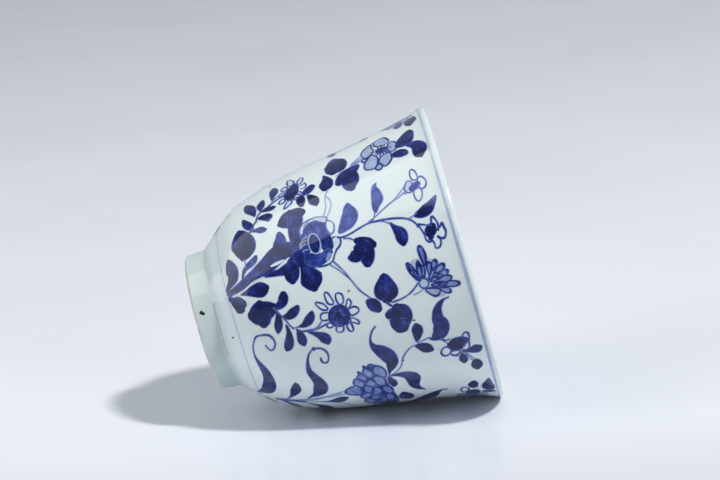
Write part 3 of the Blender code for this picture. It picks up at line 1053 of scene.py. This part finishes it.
def scaledFlower(brush):
    brush.blade([(22.7, 38.6, .8), (26, 38.6, 3.2), (30, 37.6, 4.0), (34, 38.2, 3.9), (38, 38.8, 3.9),
                 (42, 39.4, 3.6), (45.5, 40.0, 2.6), (48.0, 40.4, 1.0)], .66, .70, .84, layer=0)
    brush.blade([(31.2, 36, 2.6), (31.4, 33.6, 2.3), (31.6, 31.6, 1.6), (31.6, 30.5, .6)], .66, layer=0)
    for petal in scalePetals:
        brush.wash(petal, .42, .38, layer=1)
        brush.loop(petal, .86, .40)
    brush.blade([(24.2, 37.4, .3), (23.2, 37.0, .5), (22.5, 37.0, .25)], .95)
    brush.blade([(25.4, 36.0, .3), (24.6, 35.4, .5), (24.0, 35.2, .25)], .95)
    # stems and blades that rise with it
    brush.line([(30.6, 30), (30.8, 28), (31.4, 25.5), (31.6, 23), (31.8, 20.5), (31.2, 17.5),
                (30.4, 14.5), (29.9, 12)], .5, .3)
    brush.line([(32, 30), (32, 27), (32.2, 24), (32.6, 21), (31.8, 18)], .5, .3)
    brush.wash([(30.8, 29.6), (32, 29.6), (32.3, 22), (31.8, 17), (30.9, 16), (31.4, 23)], .24)
    brush.blade([(33.5, 19.5, .4), (31.8, 17, .8), (30.6, 14, .9), (29.7, 11.6, .5)], .7)
    brush.line([(42, 31.5), (38, 29), (36.5, 27.5), (34.6, 24), (33.4, 20.5)], .42, .35)
    brush.blade([(34.3, 23.6, .2), (34.7, 25.2, .35), (34.9, 26.8, 1.1), (34.8, 28.2, 1.75),
                 (34.4, 29.5, 1.4), (34.2, 30.4, .6)])
    brush.blade([(33.0, 18.6, .2), (34.6, 20.2, .25), (36.4, 21.7, .5), (38.6, 23.2, 1.2),
                 (41.2, 23.8, 1.9), (44.2, 23.6, 1.9), (47.2, 23.4, 1.2), (49, 23.4, .3)])
    brush.blade([(30.6, 12.9, .3), (32.8, 14.4, .6), (35.4, 15.8, 1.0), (38.2, 16.5, 1.2),
                 (41.0, 16.2, 1.1), (43.6, 15.4, .5), (44.6, 15, .1)])
    brush.blade([(29.4, 8.2, .2), (31.4, 9.0, .9), (33.8, 9.5, 1.6), (36.2, 9.4, 1.2),
                 (38.4, 9.4, .4)], .8)
    brush.line([(26.2, 8), (27.5, 6.9), (30, 6), (33, 5.4)], .42, .3)
    brush.blade([(34.0, 5.2, .1), (36.4, 6.0, .5), (39.6, 7.0, 1.0), (42.4, 8.0, .6), (44.0, 8.6, .1)])


def curledLeaves(brush):
    brush.line([(13.9, 26.3), (14.1, 27.6), (14.8, 28.7), (16.2, 29.3), (17.8, 29.1), (18.7, 28.4),
                (18.4, 27.5), (17.6, 27.2), (16.9, 27.3)], .82, .42)
    brush.dot(13.9, 26.2, .5, .9)
    brush.blade([(14.1, 25.6, .2), (15.2, 24.5, .22), (16.8, 23.8, .3), (18.6, 23.4, .55),
                 (20.4, 23.4, .8), (22.4, 24.1, 1.1), (24.6, 24.8, 1.5), (26.6, 24.8, 1.95),
                 (28.4, 24.2, 1.9), (29.6, 22.9, 1.1), (30.2, 21.7, .5), (31.2, 20.2, .2)], .85, .95, 1.0)
    brush.line([(9.7, 14.2), (10.6, 14.6), (11.4, 15.3), (11.0, 16.3), (9.8, 16.9), (8.4, 16.7),
                (7.3, 15.8), (6.9, 14.2), (6.9, 12.4), (7.8, 11.4), (9.2, 10.5), (11, 10.1),
                (12.4, 10.2)], .80, .44)
    brush.blade([(11.6, 10.1, .3), (13.2, 10.4, .45), (15.2, 11.1, .85), (17.4, 11.7, 1.2),
                 (19.8, 11.8, 1.6), (22.2, 11.3, 2.1), (24.2, 10.2, 2.2), (25.2, 8.4, 1.3),
                 (25.8, 7.0, .6), (27, 5.9, .15)], .8, .95, 1.0)
    brush.blade([(23.0, 18.6, .2), (24.4, 18.5, 1.1), (26.2, 18.0, 1.5), (27.8, 17.0, .9),
                 (29.0, 15.9, .35), (30, 14.8, .2)])


def daisy(brush):
    petals = [
        [(6.4, 37.5), (6.0, 39.0), (6.9, 40.0), (7.7, 39.4), (7.9, 37.8)],
        [(8.5, 37.4), (9.0, 38.4), (9.8, 39.1), (10.6, 39.0), (10.0, 38.2), (9.6, 37.3)],
        [(9.6, 36.9), (10.9, 37.3), (11.9, 37.1), (11.6, 36.3), (10.2, 36.0)],
        [(9.9, 35.0), (10.8, 35.0), (11.4, 34.3), (11.1, 33.4), (10.4, 33.2), (9.6, 33.8)],
        [(9.0, 33.0), (9.5, 32.4), (9.5, 31.6), (8.7, 31.1), (8.3, 32.0), (8.2, 32.8)],
        [(5.9, 32.5), (5.6, 31.4), (5.7, 30.6), (6.7, 30.2), (7.3, 30.6), (7.4, 32.2)],
        [(4.9, 32.6), (3.5, 31.9), (2.7, 30.6), (2.6, 29.9), (3.6, 30.3), (4.7, 31.2), (5.0, 32.2)],
        [(4.0, 34.3), (2.4, 34.1), (1.0, 33.5), (0.8, 32.9), (1.8, 32.7), (3.6, 33.0)],
        [(4.4, 35.6), (3.2, 35.2), (1.9, 35.5), (1.8, 36.2), (2.4, 36.9), (3.8, 36.9), (4.6, 36.3)],
        [(5.4, 37.1), (4.7, 37.5), (3.8, 38.0), (4.6, 38.6), (5.5, 38.2), (6.1, 37.2)],
    ]
    for petal in petals:
        brush.loop(petal, .80, .3, .04)
    brush.dot(7.3, 34.8, 2.45, .84, layer=1)
    brush.loop(around(7.3, 34.8, 2.5, 2.45, 10), .95, .5, 0)
    brush.dot(7.0, 34.7, .8, 1.3, layer=4)
    for step in range(6):
        angle = math.radians(step * 60 + 20)
        start = (7.1 + 1.0 * math.cos(angle), 34.7 + 1.0 * math.sin(angle))
        end = (7.2 + 1.9 * math.cos(angle), 34.8 + 1.9 * math.sin(angle))
        brush.line([start, end], .9, .4, 3)
    brush.line([(8.4, 31.2), (8.8, 29.6), (9.0, 28.0), (8.8, 26.2), (8.6, 24.8), (7.8, 23.4)], .76, .48)
    brush.line([(7.2, 30.4), (8.2, 29.4), (8.8, 28)], .7, .3)
    # its leafy stalk
    brush.blade([(9.2, 26.2, .2), (10.0, 27.6, .5), (10.9, 28.9, 1.0), (12.0, 29.9, 1.5),
                 (13.1, 30.2, 1.0), (13.6, 30.2, .4)], .9)
    brush.blade([(7.2, 24.2, .2), (7.2, 25.4, .55), (6.6, 26.8, 1.2), (5.6, 27.9, 1.1), (4.6, 28.5, .5),
                 (4.3, 28.7, .1)])
    brush.line([(7.2, 24.4), (7.3, 23.2), (7, 22.6)], .75)
    brush.blade([(4.0, 20.9, .4), (4.0, 22.3, .9), (3.6, 23.6, 1.25), (2.9, 24.8, 1.0), (2.2, 25.5, .4)])
    brush.blade([(8.2, 23.7, .4), (9.4, 24.0, 1.0), (10.8, 24.1, 1.3), (11.9, 24.2, .9),
                 (12.4, 24.3, .3)])
    brush.blade([(1.2, 19.4, .6), (0.9, 20.8, .95), (0.2, 21.9, 1.3), (-0.9, 22.5, 1.3),
                 (-1.9, 22.7, .7)])
    brush.blade([(6.0, 21.2, .25), (8.0, 21.3, .6), (9.8, 20.9, 1.1), (11.2, 20.3, 1.3), (12.1, 19.6, .9),
                 (12.5, 19.2, .3)])
    brush.blade([(2.2, 19.8, .3), (3.8, 19.7, .75), (5.3, 19.3, 1.15), (6.6, 18.8, .9), (7.4, 18.5, .35)])
    brush.line([(7.4, 22.8), (6.2, 22), (4.8, 21.4), (3.2, 20.4), (2, 19.8), (1, 19.2)], .75, .4)


def leftDaisy(brush):
    petals = [
        [(-35.6, 33.9), (-34.6, 34.4), (-33.4, 34.0), (-32.3, 33.3), (-33.2, 32.7), (-34.6, 33.0)],
        [(-37.1, 30.4), (-35.8, 31.4), (-34.4, 31.9), (-33.2, 31.3), (-33.2, 30.4), (-34.6, 30.0),
         (-35.9, 30.1)],
        [(-33.6, 29.4), (-32.6, 30.0), (-31.6, 29.6), (-31.6, 28.8), (-32.4, 28.2), (-33.4, 28.6)],
        [(-31.0, 28.9), (-30.2, 28.9), (-29.6, 28), (-30.0, 27.2), (-30.8, 27.8)],
        [(-28.2, 28.4), (-27.4, 28.9), (-26.6, 28.0), (-26.7, 27.1), (-27.5, 27.2), (-28.2, 27.9)],
        [(-26.8, 30.4), (-25.6, 30.2), (-24.8, 29.2), (-24.3, 28.1), (-25.2, 28.4), (-26.5, 29.2)],
    ]
    for petal in petals:
        brush.loop(petal, .85, .3, .12)
    brush.line([(-32.2, 34.6), (-31, 34.9), (-30.2, 34.5), (-29.9, 33.4)], .85, .34)
    brush.line([(-31.9, 34.4), (-31.4, 33.2)], .85, .34)
    brush.blade([(-33.4, 32.1, .5), (-31.8, 31.6, 1.4), (-30.0, 30.9, 1.9), (-28.4, 30.2, 1.7),
                 (-27.0, 30.2, .8)])
    for x, y, size in ((-28.4, 32.8, .6), (-26.8, 31.6, .5)):
        brush.loop(around(x, y, size, size, 6), .85, .28, .12)
    brush.blade([(-29.7, 36.5, .9), (-28.9, 35.6, 1.25), (-27.9, 34.5, 1.15), (-27.2, 33.7, .5)], .9)
    brush.blade([(-26.6, 34.8, .3), (-25.3, 35.5, 1.0), (-24.1, 36.0, 1.5), (-22.9, 36.3, 1.0),
                 (-22.2, 36.4, .3)])
    brush.blade([(-27.3, 33.2, .4), (-26.0, 32.8, 1.2), (-24.7, 32.7, 1.1), (-23.4, 32.7, .5)])
    brush.line([(-27.6, 34.4), (-26.8, 34.7), (-26.2, 35.0)], .8, .34)
    stem = [(-29.4, 28.6), (-29.0, 27), (-28.2, 25.4), (-27.2, 23.8), (-26.5, 22.2), (-25.4, 20.9),
            (-24.4, 20.4), (-23.2, 20), (-22.6, 19.3), (-21, 18.4), (-20.2, 17.6)]
    brush.line(stem, .86, .46)
    brush.line([(-30.8, 28.2), (-30, 26.6), (-28.8, 25)], .8, .3)
    brush.blade([(-35.8, 26.1, .3), (-34.4, 26.1, 1.1), (-32.8, 26.1, 1.3), (-31.2, 25.7, .8),
                 (-29.6, 25.3, .2)])
    brush.blade([(-26.4, 21.9, .4), (-26.3, 23.2, .6), (-26.3, 24.6, .95), (-26.3, 25.5, .7),
                 (-26.3, 26.0, .2)])
    brush.blade([(-24.1, 20.9, .5), (-23.9, 22.2, 1.0), (-23.5, 23.4, 1.4), (-23.3, 24.3, .8)])
    brush.blade([(-23.6, 23.4, 1.0), (-22.9, 23.4, .9), (-22.2, 23.3, .5)])
    brush.blade([(-31.5, 22.8, .1), (-30.2, 22.4, .9), (-28.8, 22.0, 1.25), (-27.3, 21.8, .6),
                 (-26.8, 21.8, .3)])
    brush.blade([(-32.7, 17.8, .2), (-31.1, 18.2, 1.1), (-29.4, 18.8, 1.6), (-27.8, 19.4, 1.3),
                 (-26.2, 19.8, .5), (-25.4, 19.9, .2)])
    brush.blade([(-25.9, 16.5, .2), (-24.6, 16.8, .8), (-23.2, 17.4, 1.25), (-21.9, 18.1, 1.1),
                 (-21.0, 18.7, .5)])
    brush.blade([(-20.4, 18.2, .25), (-20.3, 19.6, .6), (-20.0, 20.8, 1.1), (-19.7, 21.8, .8),
                 (-19.7, 22.4, .3)], .9)
    brush.blade([(-22.2, 14.7, .4), (-20.4, 15.0, 2.2), (-18.2, 15.2, 3.4), (-16.0, 15.2, 3.5),
                 (-14.2, 14.8, 2.3), (-12.9, 14.4, .8)], .98, .95)
    brush.line([(-13, 14.6), (-11.6, 14.8), (-10.6, 14.4)], .5, .3)
    brush.blade([(-12.9, 18.1, .4), (-12.0, 17.4, .85), (-11.2, 16.2, .95), (-10.7, 15.1, .75),
                 (-9.6, 13.8, .45), (-7.6, 12.8, .2)], .85)
    brush.blade([(-14.2, 9.8, .3), (-12.8, 10.0, 1.4), (-11.0, 10.2, 2.1), (-9.2, 10.1, 1.8),
                 (-7.8, 9.0, 1.1), (-6.6, 7.4, .5), (-6.1, 6.6, .2)], .92)


def peony(brush):
    # broad washes of the bloom
    brush.blade([(-17.9, 34.8, .5), (-16.6, 34.6, 3.0), (-14.4, 34.8, 3.6), (-12.2, 34.9, 3.2),
                 (-11.2, 35.0, 2.6)], .70, .66, .78, layer=0)
    brush.blade([(-12.4, 36.9, 1.2), (-11.0, 36.7, 1.6), (-9.4, 36.6, 1.5),
                 (-8.8, 36.6, .9)], .85, layer=0)
    brush.blade([(-8.9, 37.0, .9), (-7.7, 35.2, 1.4), (-7.4, 33.2, 1.7), (-8.0, 31.0, 2.0),
                 (-9.6, 29.6, 1.6), (-10.8, 28.8, .8)], .62, .80, .85, layer=0)
    brush.blade([(-15.0, 31.4, .5), (-13.0, 31.0, 1.1), (-11.0, 30.8, 1.5),
                 (-9.6, 30.8, 1.2)], .62, .85, layer=0)
    brush.blade([(-8.2, 36.6, .4), (-7.4, 36.4, .5), (-6.7, 35.6, .4)], .4, layer=2)
    # double outlines of the outer petals
    brush.line([(-17.8, 38.2), (-18.6, 36), (-18.5, 34), (-18, 32.2), (-16.8, 31),
                (-15.4, 30.6)], .62, .34)
    brush.line([(-17.2, 37.6), (-17.9, 35.8), (-17.8, 34), (-17.2, 32.6), (-16.2, 31.6)], .3, .22)
    brush.line([(-8.6, 38.6), (-7.4, 37.7), (-6.2, 37), (-5.6, 35.6), (-5.6, 33.8), (-6, 32.2),
                (-6.8, 30.8), (-8, 30)], .85, .34)
    brush.wash([(-17.8, 38.2), (-16.8, 38.3), (-15.6, 39.4), (-14.6, 39.4), (-13.0, 38.4), (-14.9, 37.5),
                (-16.2, 37.7)], .04, layer=2)
    brush.line([(-17.8, 38.2), (-16.8, 38.1), (-16.4, 38.8), (-15.6, 39.4), (-14.6, 39.4), (-13.4, 39),
                (-12.9, 38.2)], .62, .34, 3)
    brush.line([(-17.4, 38.0), (-16.2, 37.7), (-14.9, 37.5), (-13, 37.9)], .6, .28, 3)
    brush.line([(-11.3, 40.2), (-10, 40), (-9, 39.2), (-8.6, 38.4)], .8, .4, 3)
    brush.blade([(-11.6, 39.0, .4), (-10.6, 39.0, .7), (-9.7, 38.6, .4)], .08, layer=2)
    # heart of the bloom
    brush.wash(around(-11.7, 33.6, 2.9, 1.7, 12), .80, .92, layer=1)
    brush.loop(around(-11.7, 33.6, 2.7, 1.5, 12), 0.32, .22, 0, 3)
    threads = (
        ((-14.2, 32.2), (-12.4, 29.9)), ((-13.2, 31.8), (-11.8, 29.7)),
        ((-12.2, 31.5), (-11.3, 29.8)), ((-10.6, 31.7), (-10.4, 30.2)),
    )
    for start, end in threads:
        middle = ((start[0] + end[0]) / 2 - .25, (start[1] + end[1]) / 2)
        brush.line([start, middle, end], 0.34, .20, 3)
    # lobed leaves round the bloom
    brush.blade([(-21.6, 32.9, .8), (-21.4, 31.2, 2.1), (-20.4, 28.6, 2.7), (-19.8, 26.6, 1.5),
                 (-19.6, 25.7, .5)], .92)
    brush.blade([(-22.6, 30.2, 1.2), (-19.6, 30.2, 2.1), (-16.2, 29.3, 1.5), (-13.6, 29.2, 1.5),
                 (-11.6, 29.3, 1.0)], .95, .88, .95)
    brush.blade([(-23.0, 29.6, .6), (-22.5, 28.9, .8), (-22.0, 28.2, .5)], 1.0, layer=2)
    brush.blade([(-10.6, 29.0, 1.6), (-9.0, 29.0, 1.5), (-7.4, 29.4, 1.2)], .82)
    brush.blade([(-7.6, 29.6, .9), (-5.4, 30.2, 1.9), (-3.2, 30.6, 2.9), (-1.4, 30.7, 1.9),
                 (-.5, 30.8, .8)], .95, 1.0)
    brush.blade([(-4.2, 31.2, 1.6), (-3.8, 32.2, 1.4), (-3.5, 33.0, .9)])
    brush.blade([(-3, 29.4, 1.6), (-2.9, 28.8, 1.3), (-2.8, 28.2, .9)])
    brush.blade([(-9.8, 28.4, 1.0), (-8.0, 27.0, 1.7), (-6.0, 26.2, 2.0), (-4.4, 25.9, 1.6),
                 (-3.6, 25.8, .7)])
    brush.blade([(-7.6, 27, 1.5), (-7.2, 25, 1.4), (-7.0, 23.2, .9), (-7.2, 21, .8),
                 (-7.6, 19, .9)], 1.0, .85)
    brush.blade([(-17.4, 25.4, .5), (-15.6, 25.4, 1.4), (-13.4, 24.9, 2.0), (-11.6, 24.4, 2.0)], .78, .9)
    # trunk
    trunk = [(-11.4, 28.8, 1.6), (-12.2, 26, 2.2), (-11.4, 23.4, 2.4), (-9.8, 20.6, 2.2),
             (-8.6, 17.6, 1.6), (-7.2, 14.4, 1.35), (-6.1, 11.4, 1.05), (-5.4, 8.6, .8), (-5.4, 6.9, .6)]
    brush.blade(trunk, .95, .9, .84, .85)
    brush.blade([(-9.7, 25.2, .15), (-9.5, 23.9, .34), (-9.3, 22.6, .42),
                 (-9.1, 21.4, .2)], 0.08, layer=2)
    brush.line([(-6.9, 19), (-6.5, 16), (-5.4, 13.6), (-4.7, 12), (-4.3, 10.4), (-4.2, 8.6)], 0.05, .3, 3)
    brush.dot(-5.2, 7.6, .7, .9, layer=2)
    brush.line([(-6.0, 8.6), (-6.2, 7.6), (-6.0, 6.8)], .8, .3)
    brush.blade([(-4.9, 8.4, .4), (-4.4, 7.4, .5), (-3.2, 7.2, .3)], .9, layer=2)
    # leaves at its foot
    brush.blade([(-4.3, 11.4, .3), (-4.3, 13.2, .8), (-4.2, 15.2, 1.5), (-4.1, 17.0, 2.0),
                 (-4.2, 18.3, 1.6), (-4.3, 19.2, .6)], .8, 1.0)
    brush.blade([(-3.7, 7.5, .5), (-2.9, 8.7, 1.5), (-2.0, 10.0, 2.0), (-1.9, 11.0, 1.6),
                 (-1.8, 11.8, .9)], .9, 1.0)
    brush.blade([(-2.0, 9.9, 1.8), (-1.1, 9.9, 1.8), (-0.4, 9.9, 1.4)])
    brush.blade([(1.0, 19.6, 1.1), (1.2, 17.6, 2.3), (1.6, 15.2, 3.0), (1.6, 13.2, 2.1),
                 (1.5, 12.2, 1.0)])
    brush.blade([(2.4, 16.6, 1.6), (3.6, 15.7, 1.8), (4.7, 15.2, 1.0)])
    brush.blade([(0.8, 16.8, 1.6), (-.3, 15.9, 1.5), (-1.1, 15.5, 1.0)])


sprays = {
    "plumBranch": plumBranch,
    "sprayStems": sprayStems,
    "fourPetalFlower": fourPetalFlower,
    "fivePetalFlower": fivePetalFlower,
    "chrysanthemum": chrysanthemum,
    "blotFlower": blotFlower,
    "rightEdgeSpray": rightEdgeSpray,
    "scaledFlower": scaledFlower,
    "curledLeaves": curledLeaves,
    "daisy": daisy,
    "leftDaisy": leftDaisy,
    "peony": peony,
}
paintwork = {
    "nearSeed": 1,       # seeds count up from here, one for each spray
    "farSeed": 101,
    "edgeSeed": 50,
    "wander": 0.55,      # about how far the strokes of the far side stray, in mm
    "farTurn": 180.0,
}

strokeTotal = 0
for number, (name, draw) in enumerate(sprays.items()):
    brush = Brush(number + paintwork["nearSeed"])
    draw(brush)
    finishPiece(brush.paint(name, 0.0, cobalt))
    strokeTotal += brush.count
    farBrush = Brush(number + paintwork["farSeed"], paintwork["wander"])
    draw(farBrush)
    finishPiece(farBrush.paint(name + "Far", paintwork["farTurn"], cobalt))
edgeBrush = Brush(paintwork["edgeSeed"])
leftEdgeFlower(edgeBrush)
finishPiece(edgeBrush.paint("leftEdgeFlower", 0.0, cobalt))
print("painted", strokeTotal, "strokes of the near side's sprays")


# the painted rings: place and width in mm, how far a ring strays, and how much its ink weakens
bandLook = {
    "rimLine": {"seed": 60, "height": 67.9, "width": 0.78, "ink": 0.31, "wobble": 0.32, "weakness": 0.35},
    "footLine": {"seed": 61, "height": 6.7, "width": 0.5, "ink": 0.20, "wobble": 0.1, "weakness": 0.5},
}


def ringLine(brush, look):
    drawn = []
    for step in range(181):
        angle = math.radians(step * 2 - 180)
        y = look["height"] + look["wobble"] * math.sin(angle) + 0.06 * math.sin(5 * angle)
        x = angle * wallPoint(y).x
        wave = 1.0 + 0.22 * math.sin(3 * angle + 1.0) + 0.1 * math.sin(11 * angle)
        drawn.append(Vector((x, y, look["width"] / 2 * wave)))
    inks = []
    for step in range(19):
        share = 0.5 + 0.5 * math.sin(math.radians(step * 20))
        inks.append(look["ink"] * (1.0 - look["weakness"] * share))
    brush.stroke(drawn, inks, 0, False)


for name, look in bandLook.items():
    bandBrush = Brush(look["seed"])
    ringLine(bandBrush, look)
    finishPiece(bandBrush.paint(name, 0.0, cobalt))


# firing marks: each spot is (across, up, radius, strength)
firingMarks = {
    "spots": [
        (13.4, 52.4, .13, .9), (2.0, 38.8, .2, .5), (23.2, 56.4, .25, .2), (5.6, 4.5, .17, .8),
        (-12.8, 23.6, .26, 1.3), (-39, 25, .3, .35), (-32.5, 12, .3, .3), (30, 0.7, .2, .5),
    ],
    "spotLayer": 8,      # above all the painting
    "spotSeed": 70,
    "gritSeed": 71,
}

spotBrush = Brush(firingMarks["spotSeed"])
for x, y, size, ink in firingMarks["spots"]:
    spotBrush.dot(x, y, size, ink, firingMarks["spotLayer"])
# a stain where foot and bowl meet, and the mark of a chip on the lip
spotBrush.line([(-4, .75), (-1, .65), (3, .7), (7, .62), (10, .7)], .36, .2, 1)
spotBrush.line([(-4.6, 69.2), (-4.1, 69.35), (-3.5, 69.1)], .8, .42, 1)
finishPiece(spotBrush.paint("ironSpotMarks", 0.0, iron))

# the grit on the foot is laid on the foot's own side
footWall = [(17.95, 0.7), (17.96, 0.9), (18.0, 1.8), (18.1, 3.0), (18.19, 4.3)]
footHelper = wallObject("footWall", [Vector(point) for point in footWall])
kilnBrush = Brush(firingMarks["gritSeed"])
kilnBrush.blade([(-2.95, 1.4, .06), (-2.6, 1.5, .1), (-2.3, 1.72, .18), (-2.05, 1.95, .14)], 1.8, layer=1)
kilnBrush.blade([(-2.6, 1.0, .05), (-2.4, 1.4, .1), (-2.25, 1.7, .1)], 1.8, layer=1)
kilnBrush.dot(-2.15, 1.85, .2, 1.8, 1)
finishPiece(kilnBrush.paint("kilnGrit", 0.0, iron, footHelper))
dropHelper(footHelper)
dropHelper(wallHelper)
print("lines and spots laid")


stageLook = {
    "restAngle": 13.0,       # side of the cup that lies on the floor, in degrees from +X
    "halfSize": 3.0,         # of the floor sheet, in metres
    "colour": (0.815, 0.850, 0.930),
    "roughness": 0.26,
    "worldColour": (0.91, 0.95, 1.0, 1.0),
    "worldBefore": 0.20,     # strength of the studio before the cup, beside it and behind it
    "worldBeside": 0.39,
    "worldBehind": 0.58,
    "gloss": 0.35,           # specular level of the floor
    "mottleScale": 9.0,
    "nearFade": (-0.11, -0.02, 0.74, 1.0),   # from and to, in metres towards the back, then the tones there
    "farFade": (0.08, 0.70, 1.0, 0.90),
    "gap": 0.00002,          # between the cup and the floor, in metres
    "bellyTop": 60.0,        # the floor's second touching place lies under this height, in mm
}

cameraPlace = {
    "turn": -1.07,           # to the side, up or down, and round the line of sight, in degrees
    "tilt": -1.819,
    "roll": 74.48,
    "at": (0.0, -0.5278, 0.06161),
    "lens": 101.8,
    "sensor": 36.0,
    "near": 0.01,
    "far": 20.0,
}

# each lamp shines from a direction at a distance on its target; lengths in metres, power in watts.
# diffuse says whether it lights matt surfaces, glossy whether a shine mirrors it
lamps = {
    "longSoftBox": {
        "direction": (-0.660, -0.2534, -0.707), "distance": 0.8, "target": (-0.03, -0.01, 0.066),
        "size": (0.72, 1.20), "power": 5.0, "colour": (1.0, 0.99, 0.98), "diffuse": False, "glossy": True,
    },
    "fillBox": {
        "direction": (-0.560, -0.420, -0.707), "distance": 1.2, "target": (0, 0, 0.035),
        "size": (0.8, 0.8), "power": 4.1, "colour": (1.0, 0.99, 0.98), "diffuse": True, "glossy": False,
    },
    "keyLight": {
        "direction": (-0.594, -0.517, 0.616), "distance": 2.6, "target": (0, 0, 0.035),
        "size": (0.24, 0.24), "power": 53.0, "colour": (1.0, 0.985, 0.96), "diffuse": True, "glossy": True,
    },
}


def floorPlane():
    # the plane that touches the lip and the belly on the side that the cup lies on
    lip = Vector((cupShape["rimRadius"], cupShape["height"] - cupShape["lipRadius"]))
    belly = [point for point in outerOutline() if point.y < stageLook["bellyTop"]]
    lean = min(math.atan2(lip.x - point.x, lip.y - point.y) for point in belly)
    side = math.radians(stageLook["restAngle"])
    normal = Vector((-math.cos(side) * math.cos(lean), -math.sin(side) * math.cos(lean), math.sin(lean)))
    touch = Vector((lip.x * math.cos(side), lip.x * math.sin(side), lip.y)) * mm
    return touch - normal * stageLook["gap"], normal


def makeFloor():
    touch, normal = floorPlane()
    middle = Vector((0.0, 0.0, cupShape["height"] / 2 * mm))
    middle = middle - normal * (middle - touch).dot(normal)
    sideways = normal.cross(Vector((0, 0, 1))).normalized()
    upwards = sideways.cross(normal).normalized()
    half = stageLook["halfSize"]
    signs = ((-1, -1), (1, -1), (1, 1), (-1, 1))
    corners = [middle + sideways * half * x + upwards * half * y for x, y in signs]
    mesh = bpy.data.meshes.new("paperFloor")
    mesh.from_pydata(corners, [], [(0, 1, 2, 3)])
    mesh.update()
    if mesh.polygons[0].normal.dot(normal) < 0:
        mesh.flip_normals()
    floor = bpy.data.objects.new("paperFloor", mesh)
    bpy.context.scene.collection.objects.link(floor)
    material, tree, shader = newMaterial("paleFloorSheet")
    place = objectPlace(tree)
    tone = spread(tree, noise(tree, place, stageLook["mottleScale"], 4.0), 0.3, 0.7, 0.97, 1.03)
    # toned down towards the near and far edges, in place of the fall-off of larger studio lights
    depth = addNode(tree, "ShaderNodeSeparateXYZ", {0: place}).outputs[1]
    tone = calc(tree, "MULTIPLY", tone, spread(tree, depth, *stageLook["nearFade"]))
    tone = calc(tree, "MULTIPLY", tone, spread(tree, depth, *stageLook["farFade"]))
    inputs = {0: stageLook["colour"], "Scale": tone}
    colour = addNode(tree, "ShaderNodeVectorMath", inputs, operation="SCALE")
    tree.links.new(colour.outputs[0], shader.inputs["Base Color"])
    shader.inputs["Roughness"].default_value = stageLook["roughness"]
    shader.inputs["Specular IOR Level"].default_value = stageLook["gloss"]
    # the sheet is clear from its underside, so that a view from there still shows the cup
    seen = addNode(tree, "ShaderNodeNewGeometry").outputs["Backfacing"]
    clear = tree.nodes.new("ShaderNodeBsdfTransparent")
    mix = addNode(tree, "ShaderNodeMixShader", {0: seen, 1: shader.outputs[0], 2: clear.outputs[0]})
    output = tree.nodes["Material Output"]
    tree.links.new(mix.outputs[0], output.inputs["Surface"])
    mesh.materials.append(material)


def softBox(name, look):
    light = bpy.data.lights.new(name, "AREA")
    light.shape = "RECTANGLE"
    light.size, light.size_y = look["size"]
    light.energy = look["power"]
    light.color = look["colour"]
    lamp = bpy.data.objects.new(name, light)
    bpy.context.scene.collection.objects.link(lamp)
    lamp.visible_diffuse = look["diffuse"]
    lamp.visible_glossy = look["glossy"]
    direction = Vector(look["direction"]).normalized()
    forward = -direction
    across = forward.cross(Vector((0, 0, 1))).normalized()
    upward = across.cross(forward).normalized()
    turn = Matrix((across, upward, -forward)).transposed().to_4x4()
    place = Vector(look["target"]) + direction * look["distance"]
    lamp.matrix_world = Matrix.Translation(place) @ turn


def makeCamera():
    turn = math.radians(cameraPlace["turn"])
    tilt = math.radians(cameraPlace["tilt"])
    roll = math.radians(cameraPlace["roll"])
    level = Vector((math.sin(turn) * math.cos(tilt), math.cos(turn) * math.cos(tilt), 0.0))
    forward = level + Vector((0.0, 0.0, math.sin(tilt)))
    right = Vector((math.cos(turn), -math.sin(turn), 0.0))
    upward = right.cross(forward)
    imageRight = right * math.cos(roll) + upward * math.sin(roll)
    imageUp = upward * math.cos(roll) - right * math.sin(roll)
    camera = bpy.data.objects.new("camera", bpy.data.cameras.new("camera"))
    camera.data.sensor_width = cameraPlace["sensor"]
    camera.data.lens = cameraPlace["lens"]
    camera.data.clip_start = cameraPlace["near"]
    camera.data.clip_end = cameraPlace["far"]
    bpy.context.scene.collection.objects.link(camera)
    axes = Matrix((imageRight, imageUp, -forward)).transposed().to_4x4()
    camera.matrix_world = Matrix.Translation(Vector(cameraPlace["at"])) @ axes
    bpy.context.scene.camera = camera


def makeWorld():
    world = bpy.data.worlds.new("studio")
    bpy.context.scene.world = world
    world.use_nodes = True
    background = world.node_tree.nodes["Background"]
    background.inputs["Color"].default_value = stageLook["worldColour"]
    tree = world.node_tree
    direction = addNode(tree, "ShaderNodeTexCoord").outputs["Generated"]
    depth = addNode(tree, "ShaderNodeSeparateXYZ", {0: direction}).outputs[1]
    near = spread(tree, depth, -1.0, 0.0, stageLook["worldBefore"], stageLook["worldBeside"])
    far = spread(tree, depth, 0.0, 1.0, 0.0, stageLook["worldBehind"] - stageLook["worldBeside"])
    tree.links.new(calc(tree, "ADD", near, far), background.inputs["Strength"])


makeFloor()
makeWorld()
for name, look in lamps.items():
    softBox(name, look)
makeCamera()
bpy.context.scene.view_settings.view_transform = "Standard"
print("stage ready")
